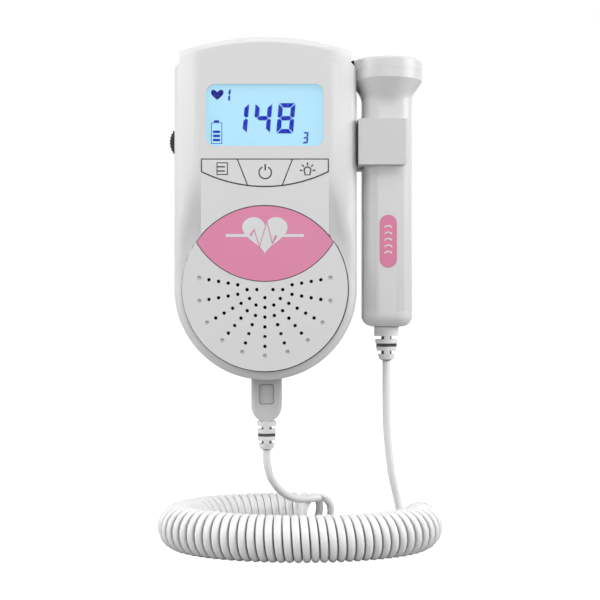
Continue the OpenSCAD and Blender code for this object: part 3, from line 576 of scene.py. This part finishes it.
def drawn(name, lines, width, depth, thickness, material, body, closed=False, sides=1):
    """Lines of one width on the front, as thin raised ink or as a dark strip of painted shade, at a
    depth.
    """
    curve = bpy.data.curves.new(name, "CURVE")
    curve.dimensions = "3D"
    curve.bevel_depth = width / 2
    curve.bevel_resolution = sides
    curve.use_fill_caps = True
    add_lines(curve, [[(x, 0, z) for x, z in line] for line in lines], closed)
    onto_front(name, curve, (1, thickness / width, 1), depth, material, body)


def filled(name, outlines, depth, thickness, material, body):
    """Closed outlines on the front, filled as one thin print, at a depth."""
    curve = bpy.data.curves.new(name, "CURVE")
    curve.dimensions = "2D"
    curve.fill_mode = "BOTH"
    curve.extrude = thickness / 2
    add_lines(curve, [[(x, z, 0) for x, z in line] for line in outlines], True)
    onto_front(name, curve, (1, 1, 1), depth, material, body, math.radians(90))


def onto_front(name, curve, scale, depth, material, body, tilt=0.0):
    """Makes a curve a mesh, puts it at its depth and lets it ride on its body."""
    piece = bpy.data.objects.new(name, curve)
    bpy.context.scene.collection.objects.link(piece)
    pick(piece)
    bpy.ops.object.convert(target="MESH")
    piece = bpy.context.object
    piece.rotation_euler = (tilt, 0, 0)
    piece.scale = scale
    piece.location = (0, -depth, 0)
    bpy.ops.object.transform_apply(location=True, rotation=True, scale=True)
    bpy.ops.object.mode_set(mode="EDIT")
    bpy.ops.mesh.select_all(action="SELECT")
    bpy.ops.mesh.normals_make_consistent(inside=False)
    bpy.ops.object.mode_set(mode="OBJECT")
    finished(piece, name, material, body)


def seen_at(depth, *points):
    """Places on the front, in metres, of points given in the photograph's pixels."""
    scale = (-CAMERA_AT.y - depth) / FOCAL_PX
    return [(CAMERA_AT.x + (x - FRAME_PX / 2) * scale, CAMERA_AT.z + (FRAME_PX / 2 - y) * scale)
            for x, y in points]


def arc(centre, radius, start, stop, steps):
    """Points on an arc, by angles in degrees counted from the right."""
    angles = [math.radians(start + (stop - start) * i / steps) for i in range(steps + 1)]
    return [(centre[0] + radius * math.cos(a), centre[1] + radius * math.sin(a)) for a in angles]


def heart(centre, width, blunt=3, steps=48):
    """The outline of a heart of a given width, a little lower than it is wide."""
    scale = width / 32
    outline = []
    for t in (math.tau * i / steps for i in range(steps)):
        x = 16 * math.copysign(abs(math.sin(t)) ** blunt, math.sin(t))
        z = 0.9 * (13 * math.cos(t) - 5 * math.cos(2 * t) - 2 * math.cos(3 * t) - math.cos(4 * t))
        outline.append((centre[0] + scale * x, centre[1] + scale * z))
    return outline


INK_T = 0.05 * MM               # thickness that a print stands up
BADGE_Z = -11.2 * MM            # height of the pulse line
PINK_LENS = plastic("pink_lens", "df84a8", roughness=0.3, grain=9000, depth=0.000004, shift=0.04)
LIGHT_PRINT = plastic("light_print", "dfe1e1", roughness=0.5)

badge = moulded("badge", "pink_badge", PINK_LENS, 0.08 * MM, angle=40, segments=1)
# A thin band round the lens's front face is dark: painted shade of the seam round it.
badge.data.materials.append(plastic("badge_edge_shade", "3c3438", roughness=0.45))
pick_faces(badge, lambda face: face.normal.y < -0.99)
bpy.ops.mesh.inset(thickness=0.17 * MM)
leave_faces()
for face in badge.data.polygons:
    if face.normal.y < -0.5 and not face.select:
        face.material_index = 1

PULSE_W = 1.1 * MM
BADGE_D = FACE_D + 0.02 * MM
filled("badge_heart", [heart((0, BADGE_Z + 1.2 * MM), 17.5 * MM)],
       BADGE_D + INK_T / 4, INK_T, LIGHT_PRINT, "unit")
for side, start, stop in (("left", -15 * MM, -5.6 * MM), ("right", 4.3 * MM, 15 * MM)):
    low, high = BADGE_Z - PULSE_W / 2, BADGE_Z + PULSE_W / 2
    filled("badge_pulse_" + side, [[(start, low), (stop, low), (stop, high), (start, high)]],
           BADGE_D, INK_T, LIGHT_PRINT, "unit")
beat = [(-5.6, 0), (-4.1, 2.3), (-2.1, -4.4), (0.8, 5.4), (2.9, -3), (4.3, 0)]
drawn("badge_pulse_middle", [[(x * MM, BADGE_Z + z * MM) for x, z in beat]],
      PULSE_W, BADGE_D + 1.6 * INK_T, INK_T, PINK_LENS, "unit")

# ------------------------------------------------------------------ display
# A back-lit liquid crystal panel lies under a clear acrylic window, which is let in almost flush.
# The dark blue segments are the lit part of the panel: a heart, a channel number, the heart rate
# in slanting seven-segment digits, a battery with three bars and one more small figure.


def lit(name, colour, base, glow, roughness=0.35):
    """A panel that gives off its own colour, over a darker grained base of the same hue."""
    made = plastic(name, base, roughness=roughness, grain=12000, depth=0.000002)
    shader = made.node_tree.nodes["Principled BSDF"]
    shader.inputs["Specular IOR Level"].default_value = 0.1
    shader.inputs["Emission Color"].default_value = from_hex(colour)
    shader.inputs["Emission Strength"].default_value = glow
    return made


def clear_acrylic():
    """Clear acrylic with a trace of unevenness in its polish."""
    made = bpy.data.materials.new("clear_acrylic")
    made.use_nodes = True
    nodes, links = made.node_tree.nodes, made.node_tree.links
    shader = nodes["Principled BSDF"]
    shader.inputs["Base Color"].default_value = (0.93, 0.97, 1, 1)
    shader.inputs["Transmission Weight"].default_value = 1
    shader.inputs["IOR"].default_value = 1.15
    place = nodes.new("ShaderNodeTexCoord")
    smear = nodes.new("ShaderNodeTexNoise")
    smear.inputs["Scale"].default_value = 160
    links.new(place.outputs["Object"], smear.inputs["Vector"])
    spread = nodes.new("ShaderNodeMapRange")
    spread.inputs["To Min"].default_value = 0.0
    spread.inputs["To Max"].default_value = 0.012
    links.new(smear.outputs["Fac"], spread.inputs["Value"])
    links.new(spread.outputs["Result"], shader.inputs["Roughness"])
    return made


SEGMENT_BLUE = lit("panel_segments", "0426b8", "04081c", 0.95)
moulded("display_window", "display_pane", clear_acrylic(), 0.1 * MM)
dress("lcd_panel", lit("backlit_panel", "b8e8fa", "6c8894", 0.7))
SEGMENT_D = 33.32 * MM          # just in front of the panel, behind the window
SEGMENT_T = 0.03 * MM
DIGIT_W, DIGIT_H = 6.5 * MM, 11.7 * MM
DIGIT_STEP = 8.93 * MM
STROKE = 1.72 * MM
SLANT = math.tan(math.radians(4.9))
LIT_SEGMENTS = {"1": "bc", "3": "abcdg", "4": "bcfg", "8": "abcdefg"}


def segments(digit, centre, width, height, stroke, gap):
    """Outlines of a seven-segment digit's lit bars, each cut to meet its neighbours at a slant."""
    w, h, s = width / 2, height / 2, stroke
    g = gap / 2
    top = [(-w + g * 2, h), (w - g * 2, h), (w - s - g, h - s), (-w + s + g, h - s)]
    side = [(w, h - g * 2), (w, s / 4 + g), (w - s / 2, g), (w - s, s / 2 + g), (w - s, h - s - g)]
    bar = [(-w + s + g, s / 2), (w - s - g, s / 2), (w - s / 2 - g, 0), (w - s - g, -s / 2),
           (-w + s + g, -s / 2), (-w + s / 2 + g, 0)]
    shapes = {"a": top, "b": side, "c": [(x, -z) for x, z in side], "d": [(x, -z) for x, z in top],
              "e": [(-x, -z) for x, z in side], "f": [(-x, z) for x, z in side], "g": bar}
    return [[(centre[0] + x + SLANT * z, centre[1] + z) for x, z in shapes[name]]
            for name in LIT_SEGMENTS[digit]]


big = seen_at(SEGMENT_D, (285.9, 118.3))[0]     # the middle of the last digit
three = seen_at(SEGMENT_D, (305.4, 137.8))[0]
one = seen_at(SEGMENT_D, (227.0, 95.2))[0]
outlines = []
for i, digit in enumerate("148"):
    outlines += segments(digit, (big[0] + (i - 2) * DIGIT_STEP, big[1]),
                         DIGIT_W, DIGIT_H, STROKE, 0.3 * MM)
outlines += segments("3", three, 2.2 * MM, 4.4 * MM, 0.66 * MM, 0.1 * MM)
outlines += segments("1", one, 2.6 * MM, 5.3 * MM, 0.78 * MM, 0.24 * MM)
for low, high in ((130.6, 133.1), (134.7, 137.2), (138.8, 141.3)):
    outlines.append(seen_at(SEGMENT_D, (213, low), (220.1, low), (220.1, high), (213, high)))
outlines.append(seen_at(SEGMENT_D, (213.9, 120.3), (219.1, 120.3), (219.1, 122.6), (213.9, 122.6)))
filled("panel_figures", outlines, SEGMENT_D, SEGMENT_T, SEGMENT_BLUE, "unit")
battery = seen_at(SEGMENT_D, (211.4, 122.8), (221.8, 122.8), (221.8, 143.6), (211.4, 143.6))
drawn("panel_battery", [battery],
      0.44 * MM, SEGMENT_D, SEGMENT_T, SEGMENT_BLUE, "unit", closed=True)
filled("panel_heart", [heart(seen_at(SEGMENT_D, (217.3, 94.0))[0], 4.85 * MM, blunt=2)],
       SEGMENT_D, SEGMENT_T, lit("panel_heart", "021288", "04061c", 0.85), "unit")

# ------------------------------------------------------------------ keys
# Three hard white key caps share one opening, straight on top and arched below. A thin dark line
# all round and between them is painted shade of the gaps, and each has a printed sign.
KEYS_W, KEYS_TOP, KEYS_LOW, KEYS_END = 49.2 * MM, 18.4 * MM, 7.4 * MM, 13.2 * MM
DIVIDE_TOP, DIVIDE_LOW = 10.7 * MM, 6.4 * MM
KEY_GAP = 0.45 * MM
GAP_SHADE_D = 34.62 * MM           # the painted shade lines lie just below the face
GAP_SHADE_BLACK = plastic("black_gap_shade", "1b1e20", roughness=0.7, grain=6000)
SIGN_GREY = plastic("grey_sign_print", "262626", roughness=0.5)
for node, name in (("mode_button", "list_key"), ("power_button", "power_key_cap"),
                   ("light_button", "lamp_key")):
    moulded(node, name, SHELL_WHITE, 0.12 * MM, segments=2)

GAP_LINE_W = 0.9 * KEY_GAP
gap_line_top = KEYS_TOP - KEY_GAP / 2
half = KEYS_W / 2 - KEY_GAP / 2
arch_r = ((KEYS_W / 2) ** 2 + (KEYS_END - KEYS_LOW) ** 2) / (2 * (KEYS_END - KEYS_LOW))
gap_line_r = arch_r - KEY_GAP / 2
reach = math.degrees(math.asin(half / gap_line_r))
gap_line = ([(-half, gap_line_top), (half, gap_line_top)]
       + arc((0, KEYS_LOW + arch_r), gap_line_r, -90 + reach, -90 - reach, 40))
dividers = [[(s * DIVIDE_TOP, gap_line_top), (s * DIVIDE_LOW, KEYS_LOW + 0.75 * MM)] for s in (-1, 1)]
drawn("key_gap_shade_line", [gap_line], GAP_LINE_W, GAP_SHADE_D, GAP_LINE_W, GAP_SHADE_BLACK, "unit",
      closed=True, sides=2)
drawn("key_gap_shade_dividers", dividers, GAP_LINE_W, GAP_SHADE_D, GAP_LINE_W, GAP_SHADE_BLACK, "unit",
      sides=2)

KEY_D = 35.3 * MM               # depth of the key caps' faces
SIGN_W = 0.6 * MM
list_frame = seen_at(KEY_D, (217.0, 162.8), (227.4, 162.8), (227.4, 174.5), (217.0, 174.5))
drawn("list_sign_frame", [list_frame], SIGN_W, KEY_D, INK_T, SIGN_GREY, "mode_key",
      closed=True)
drawn("list_sign_lines", [seen_at(KEY_D, (217.4, y), (224.9, y)) for y in (166.8, 171.0)],
      SIGN_W, KEY_D, INK_T, SIGN_GREY, "mode_key")
power_at = seen_at(KEY_D, (265.2, 172.5))[0]
power_bar = seen_at(KEY_D, (265.2, 164.0), (265.2, 170.3))
drawn("power_sign", [arc(power_at, 2.36 * MM, 119, 421, 40), power_bar],
      SIGN_W, KEY_D, INK_T, SIGN_GREY, "power_key")
lamp_x, lamp_z = seen_at(KEY_D, (307.5, 170.3))[0]
foot_x, foot_z = 0.95 * MM, lamp_z - 1.75 * MM
bulb = ([(lamp_x + foot_x, foot_z)] + arc((lamp_x, lamp_z), 1.3 * MM, -40, 220, 24)
        + [(lamp_x - foot_x, foot_z)])
beams = [[(lamp_x + r * math.cos(a), lamp_z + r * math.sin(a)) for r in (1.95 * MM, 3.0 * MM)]
         for a in (math.radians(45 * k) for k in range(5))]
drawn("lamp_sign_bulb", [bulb], SIGN_W, KEY_D, INK_T, SIGN_GREY, "light_key", closed=True)
drawn("lamp_sign_rays", beams, SIGN_W, KEY_D, INK_T, SIGN_GREY, "light_key")

# ------------------------------------------------------------------ volume wheel
# A black moulded thumb wheel with a grooved rim stands out of the left side. It is pressed on
# the pin of a small potentiometer in a metal can, which the board carries.
dress("volume_wheel", plastic("black_wheel_plastic", "0c0c0d", roughness=0.45, grain=5000))


def brushed(name, colour, roughness, stretch=(1, 1, 12), scale=900):
    """A metal with fine streaks along one direction, from drawing or stamping."""
    made = bpy.data.materials.new(name)
    made.use_nodes = True
    nodes, links = made.node_tree.nodes, made.node_tree.links
    shader = nodes["Principled BSDF"]
    shader.inputs["Metallic"].default_value = 1
    place = nodes.new("ShaderNodeTexCoord")
    drawn_out = nodes.new("ShaderNodeMapping")
    drawn_out.inputs["Scale"].default_value = stretch
    streaks = nodes.new("ShaderNodeTexNoise")
    streaks.inputs["Scale"].default_value = scale
    streaks.inputs["Detail"].default_value = 3
    links.new(place.outputs["Object"], drawn_out.inputs["Vector"])
    links.new(drawn_out.outputs[0], streaks.inputs["Vector"])
    tone = nodes.new("ShaderNodeMix")
    tone.data_type = "RGBA"
    base = from_hex(colour)
    tone.inputs["A"].default_value = tuple(0.8 * c for c in base[:3]) + (1,)
    tone.inputs["B"].default_value = base
    links.new(streaks.outputs["Fac"], tone.inputs["Factor"])
    links.new(tone.outputs["Result"], shader.inputs["Base Color"])
    gloss = nodes.new("ShaderNodeMapRange")
    gloss.inputs["To Min"].default_value = roughness - 0.08
    gloss.inputs["To Max"].default_value = roughness + 0.08
    links.new(streaks.outputs["Fac"], gloss.inputs["Value"])
    links.new(gloss.outputs["Result"], shader.inputs["Roughness"])
    return made


STEEL = brushed("stamped_steel", "c8c8ca", 0.32)
dress("volume_pot", STEEL)

# ------------------------------------------------------------------ board and sockets
# One green glass-epoxy board carries the panel's white light box, three key switches, the
# headphone socket on the left edge and the probe's socket at the lower end, all of black nylon.


def board_material():
    """Green solder mask with a faint pattern of tracks below it."""
    made = plastic("green_solder_mask", "1f5a38", roughness=0.35, grain=9000, shift=0.05)
    nodes, links = made.node_tree.nodes, made.node_tree.links
    place = nodes.new("ShaderNodeTexCoord")
    tracks = nodes.new("ShaderNodeTexBrick")
    tracks.inputs["Scale"].default_value = 260
    tracks.inputs["Mortar Size"].default_value = 0.03
    tracks.inputs["Color1"].default_value = (0.010, 0.080, 0.034, 1)
    tracks.inputs["Color2"].default_value = (0.012, 0.095, 0.040, 1)
    tracks.inputs["Mortar"].default_value = (0.030, 0.180, 0.080, 1)
    turned = nodes.new("ShaderNodeMapping")
    turned.inputs["Rotation"].default_value = (math.radians(90), 0, 0)
    links.new(place.outputs["Object"], turned.inputs["Vector"])
    links.new(turned.outputs[0], tracks.inputs["Vector"])
    links.new(tracks.outputs["Color"], nodes["Principled BSDF"].inputs["Base Color"])
    return made


SOLDER_MASK = board_material()
for node in ("main_board", "probe_board"):
    dress(node, SOLDER_MASK)
BLACK_NYLON = plastic("black_nylon", "17181a", roughness=0.5, grain=7000)
for node in ("tact_switches", "headphone_jack", "probe_socket"):
    dress(node, BLACK_NYLON)
dress("lcd_backlight", plastic("milky_light_guide", "f2f4f6", roughness=0.25))

# ------------------------------------------------------------------ speaker
# A stamped steel basket, a black paper cone with a rolled edge, and a ferrite magnet behind it,
# clamped under the sound disc. Only the cone shows, dark, through the holes.
dress("speaker_frame", brushed("zinc_plated_basket", "a8aaac", 0.4, stretch=(1, 1, 1)))
dress("speaker_cone",
      plastic("black_speaker_paper", "121212", roughness=0.9, grain=3000, depth=0.00008))
dress("speaker_magnet",
      plastic("sintered_ferrite", "2a2a2c", roughness=0.6, grain=5000, depth=0.00003))

# ------------------------------------------------------------------ batteries and screws
# Two AA cells lie side by side behind the door, between coil springs and nickelled plates. Each
# has a plain printed sleeve, darker at the plus end, and four steel screws close the housing.


def sleeve_material():
    """A shrunk printed sleeve: silver grey, with a dark band at one end, by height in the bay."""
    made = plastic("printed_cell_sleeve", "b9bcc0", roughness=0.28, grain=5000, depth=0.000004)
    nodes, links = made.node_tree.nodes, made.node_tree.links
    band = nodes.new("ShaderNodeMath")
    band.operation = "GREATER_THAN"
    band.inputs[1].default_value = -6 * MM
    links.new(height_in(made), band.inputs[0])
    mixed = nodes.new("ShaderNodeMix")
    mixed.data_type = "RGBA"
    mixed.inputs["B"].default_value = from_hex("33373c")
    links.new(nodes["Group"].outputs["Colour"], mixed.inputs["A"])
    links.new(band.outputs[0], mixed.inputs["Factor"])
    links.new(mixed.outputs["Result"], nodes["Principled BSDF"].inputs["Base Color"])
    return made


dress("batteries", sleeve_material())
NICKEL = brushed("nickelled_contact", "cfcac0", 0.25)
for node in ("battery_springs", "battery_contacts", "cover_screws"):
    dress(node, NICKEL)

# ------------------------------------------------------------------ probe
# The probe is a rounded square ABS handle that widens into a round head. A flat cap closes the
# head in front of the two crystals, and a soft strain relief guides the cord out of the handle.
PROBE_WHITE = plastic("satin_white_probe", "dadada", roughness=0.34)
grip = moulded("probe_handle", "probe_grip", PROBE_WHITE, 0.2 * MM, angle=35)
handle_low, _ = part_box("probe_handle")
handle_middle = middle("probe_handle")
END_H = 6 * MM                  # height of the rounded lower end


def rounded_end(face):
    """Whether a face belongs to the outer skin of the handle's rounded lower end."""
    out, slope = face.center - handle_middle, face.normal
    return (face.center.z < handle_low[2] + END_H and -0.9 < slope.z < 0.2
            and slope.x * out.x + slope.y * out.y > 0)


pick(grip)
bpy.ops.object.mode_set(mode="EDIT")
for rise in (0.7 * END_H, 0.85 * END_H, END_H):
    bpy.ops.mesh.select_all(action="SELECT")
    bpy.ops.mesh.bisect(plane_co=(0, 0, handle_low[2] + rise), plane_no=(0, 0, 1))
bpy.ops.object.mode_set(mode="OBJECT")
even_out(grip, rounded_end, 1.5 * MM, 1.5 * MM, 1, 0)
moulded("probe_head", "probe_flare", PROBE_WHITE, 0.12 * MM, angle=35)
moulded("probe_cap", "probe_face_cap", plastic("white_probe_face", "dadada", roughness=0.36),
        0.1 * MM, angle=40, segments=2)
dress("probe_crystals", plastic("silvered_ceramic", "c9c3b2", roughness=0.3, grain=6000))
dress("probe_damper",
      plastic("black_backing_foam", "1d1d1f", roughness=0.9, grain=2500, depth=0.0001))

SOFT_WHITE = plastic("soft_white_rubber", "ececec", roughness=0.55, grain=3500)
moulded("probe_strain_relief", "probe_boot", SOFT_WHITE, 0.12 * MM,
        angle=40, segments=2)


SLOT_H, SLOT_RISE = 1.3 * MM, 5.72 * MM      # of the middle pair of slots, above the relief's tip
SLEEVE_R = 2.06 * MM
LUG_W = 2.44 * MM
TAIL = 0.3 * MM                 # how far the sleeve stands out below the relief
RELIEF_SHADE_GREY = plastic("relief_shade_grey", "5a5c5e", roughness=0.7, grain=5000)


def relief_shade_sleeve(node, name, collar, slot_reach, body):
    """A dark inner sleeve in a relief's slots, with a flat lug in the middle pair of slots, and a
    dark ring where the cord comes out: painted shade of the slots and of the cord's exit."""
    low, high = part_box(node)
    x, y, _ = middle(node)
    bpy.ops.object.select_all(action="DESELECT")
    bpy.ops.mesh.primitive_cylinder_add(
        vertices=32, radius=SLEEVE_R, depth=high[2] - collar - low[2] + TAIL,
        location=(x, y, (high[2] - collar + low[2] - TAIL) / 2))
    sleeve = bpy.context.object
    bpy.ops.object.mode_set(mode="EDIT")
    bpy.ops.mesh.primitive_cube_add(
        size=1, scale=(2 * slot_reach, LUG_W, SLOT_H), location=(x, y, low[2] + SLOT_RISE))
    bpy.ops.object.mode_set(mode="OBJECT")
    bpy.ops.object.transform_apply(location=True)
    round_edges(sleeve, 0.08 * MM, segments=1)
    finished(sleeve, name, RELIEF_SHADE_GREY, body)


# A dark ring where the boot meets the handle is painted shade.
gap_ring("probe_boot_gap_ring", (handle_middle.x, handle_middle.y, handle_low[2] - 0.12 * MM),
         4.8 * MM, 0.24 * MM, 48, 6, RELIEF_SHADE_GREY, "probe")
relief_shade_sleeve("probe_strain_relief", "probe_relief_shade_sleeve", 8 * MM, 3.95 * MM, "probe")

# Where the head rests against the unit, a black strip in the hollow of the unit's side is painted
# shade.
HEAD_R = 14.05 * MM
PAD_LOW, PAD_HIGH = 45.2 * MM, 58.3 * MM
PAD_HALF = 22                   # degrees that it runs to each side of the contact
head_middle = middle("probe_cap")


def past_the_pad(face):
    """Whether a face of the full ring lies outside the strip's arc."""
    out = face.center - head_middle
    return abs(math.degrees(math.atan2(out.y, -out.x))) > PAD_HALF


bpy.ops.object.select_all(action="DESELECT")
bpy.ops.mesh.primitive_cylinder_add(
    vertices=180, radius=HEAD_R + 0.46 * MM, depth=PAD_HIGH - PAD_LOW, end_fill_type="NOTHING",
    location=(head_middle.x, head_middle.y, (PAD_LOW + PAD_HIGH) / 2))
head_shade_strip = bpy.context.object
bpy.ops.object.transform_apply(location=True)
pick_faces(head_shade_strip, past_the_pad)
bpy.ops.mesh.delete(type="FACE")
leave_faces()
wall = head_shade_strip.modifiers.new("wall", "SOLIDIFY")
wall.thickness = 0.34 * MM
bpy.ops.object.modifier_apply(modifier="wall")
HEAD_SHADE_BLACK = plastic("black_head_shade", "17181a", roughness=0.9, grain=2500, depth=0.00006)
finished(head_shade_strip, "head_shade_pad", HEAD_SHADE_BLACK, "unit")

# The pink label is a thin film in a shallow seat, printed with plain sound waves.
LABEL_PINK = plastic("pink_label_film", "da7da0", roughness=0.4, grain=7000, depth=0.000006)
moulded("probe_label", "pink_probe_label", LABEL_PINK, 0.06 * MM,
        angle=40, segments=1)
label_low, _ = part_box("probe_label")
label_x, _, label_z = middle("probe_label")
WAVE_STEP = 2.5 * MM
waves = [arc((label_x, label_z + (row - 0.3) * WAVE_STEP), 1.75 * MM, 35, 145, 16)
         for row in range(-2, 3)]
drawn("label_waves", waves, 0.62 * MM, -label_low[1], INK_T, LIGHT_PRINT, "probe")

# ------------------------------------------------------------------ holder
# A grey-white clip, screwed to the unit's right side, grips the handle with two springy arms.
moulded("probe_holder", "probe_clip", plastic("satin_white_clip", "d2d2d2"), 0.35 * MM,
        angle=35)

# A black strip in the gap between the clip and the unit's side is painted shade.
low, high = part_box("probe_holder")
bpy.ops.object.select_all(action="DESELECT")
bpy.ops.mesh.primitive_cube_add(
    size=1, location=(36.0 * MM, -28.4 * MM, (low[2] + high[2]) / 2),
    scale=(0.42 * MM, 1.6 * MM, high[2] - low[2] - 0.3 * MM))
clip_gap_shade = bpy.context.object
bpy.ops.object.transform_apply(location=True, scale=True)
round_edges(clip_gap_shade, 0.1 * MM, segments=2)
finished(clip_gap_shade, "clip_gap_shade_strip", GAP_SHADE_BLACK, "unit")

# ------------------------------------------------------------------ plug
# The moulded grip of the plug has a shallow bare recess on its front, a steel shell that fits the
# unit's socket, and a slotted relief of softer plastic where the cord comes out.
PLUG_GREY = plastic("white_plug_grip", "d4d4d4")
darkened(PLUG_GREY, height_in(PLUG_GREY), -81 * MM, -68 * MM, 0.66)     # in the unit's shade
moulded("plug_body", "plug_grip", PLUG_GREY, 0.3 * MM, angle=35)

# A fine dark line round the recess is painted shade at its edge.
low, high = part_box("plug_body")
MARK_W, MARK_H, MARK_R = 5.9 * MM, 8.0 * MM, 1.0 * MM
LINE_T = 0.06 * MM
corner_x, corner_z = MARK_W / 2 - MARK_R, MARK_H / 2 - MARK_R
mark_z = high[2] - 6.3 * MM
mark = []
for sx, sz, start in ((1, 1, 0), (-1, 1, 90), (-1, -1, 180), (1, -1, 270)):
    mark += arc((sx * corner_x, mark_z + sz * corner_z), MARK_R, start, start + 90, 6)
drawn("plug_recess_shade_line", [mark], 0.3 * MM, -low[1] - LINE_T / 3, LINE_T,
      plastic("recess_edge_shade", "6e6e6e", roughness=0.6), "plug", closed=True)
dress("plug_shell", STEEL)
moulded("plug_strain_relief", "plug_boot", SOFT_WHITE, 0.12 * MM,
        angle=40, segments=2)
relief_shade_sleeve("plug_strain_relief", "plug_relief_shade_sleeve", 2.5 * MM, 3.45 * MM, "plug")
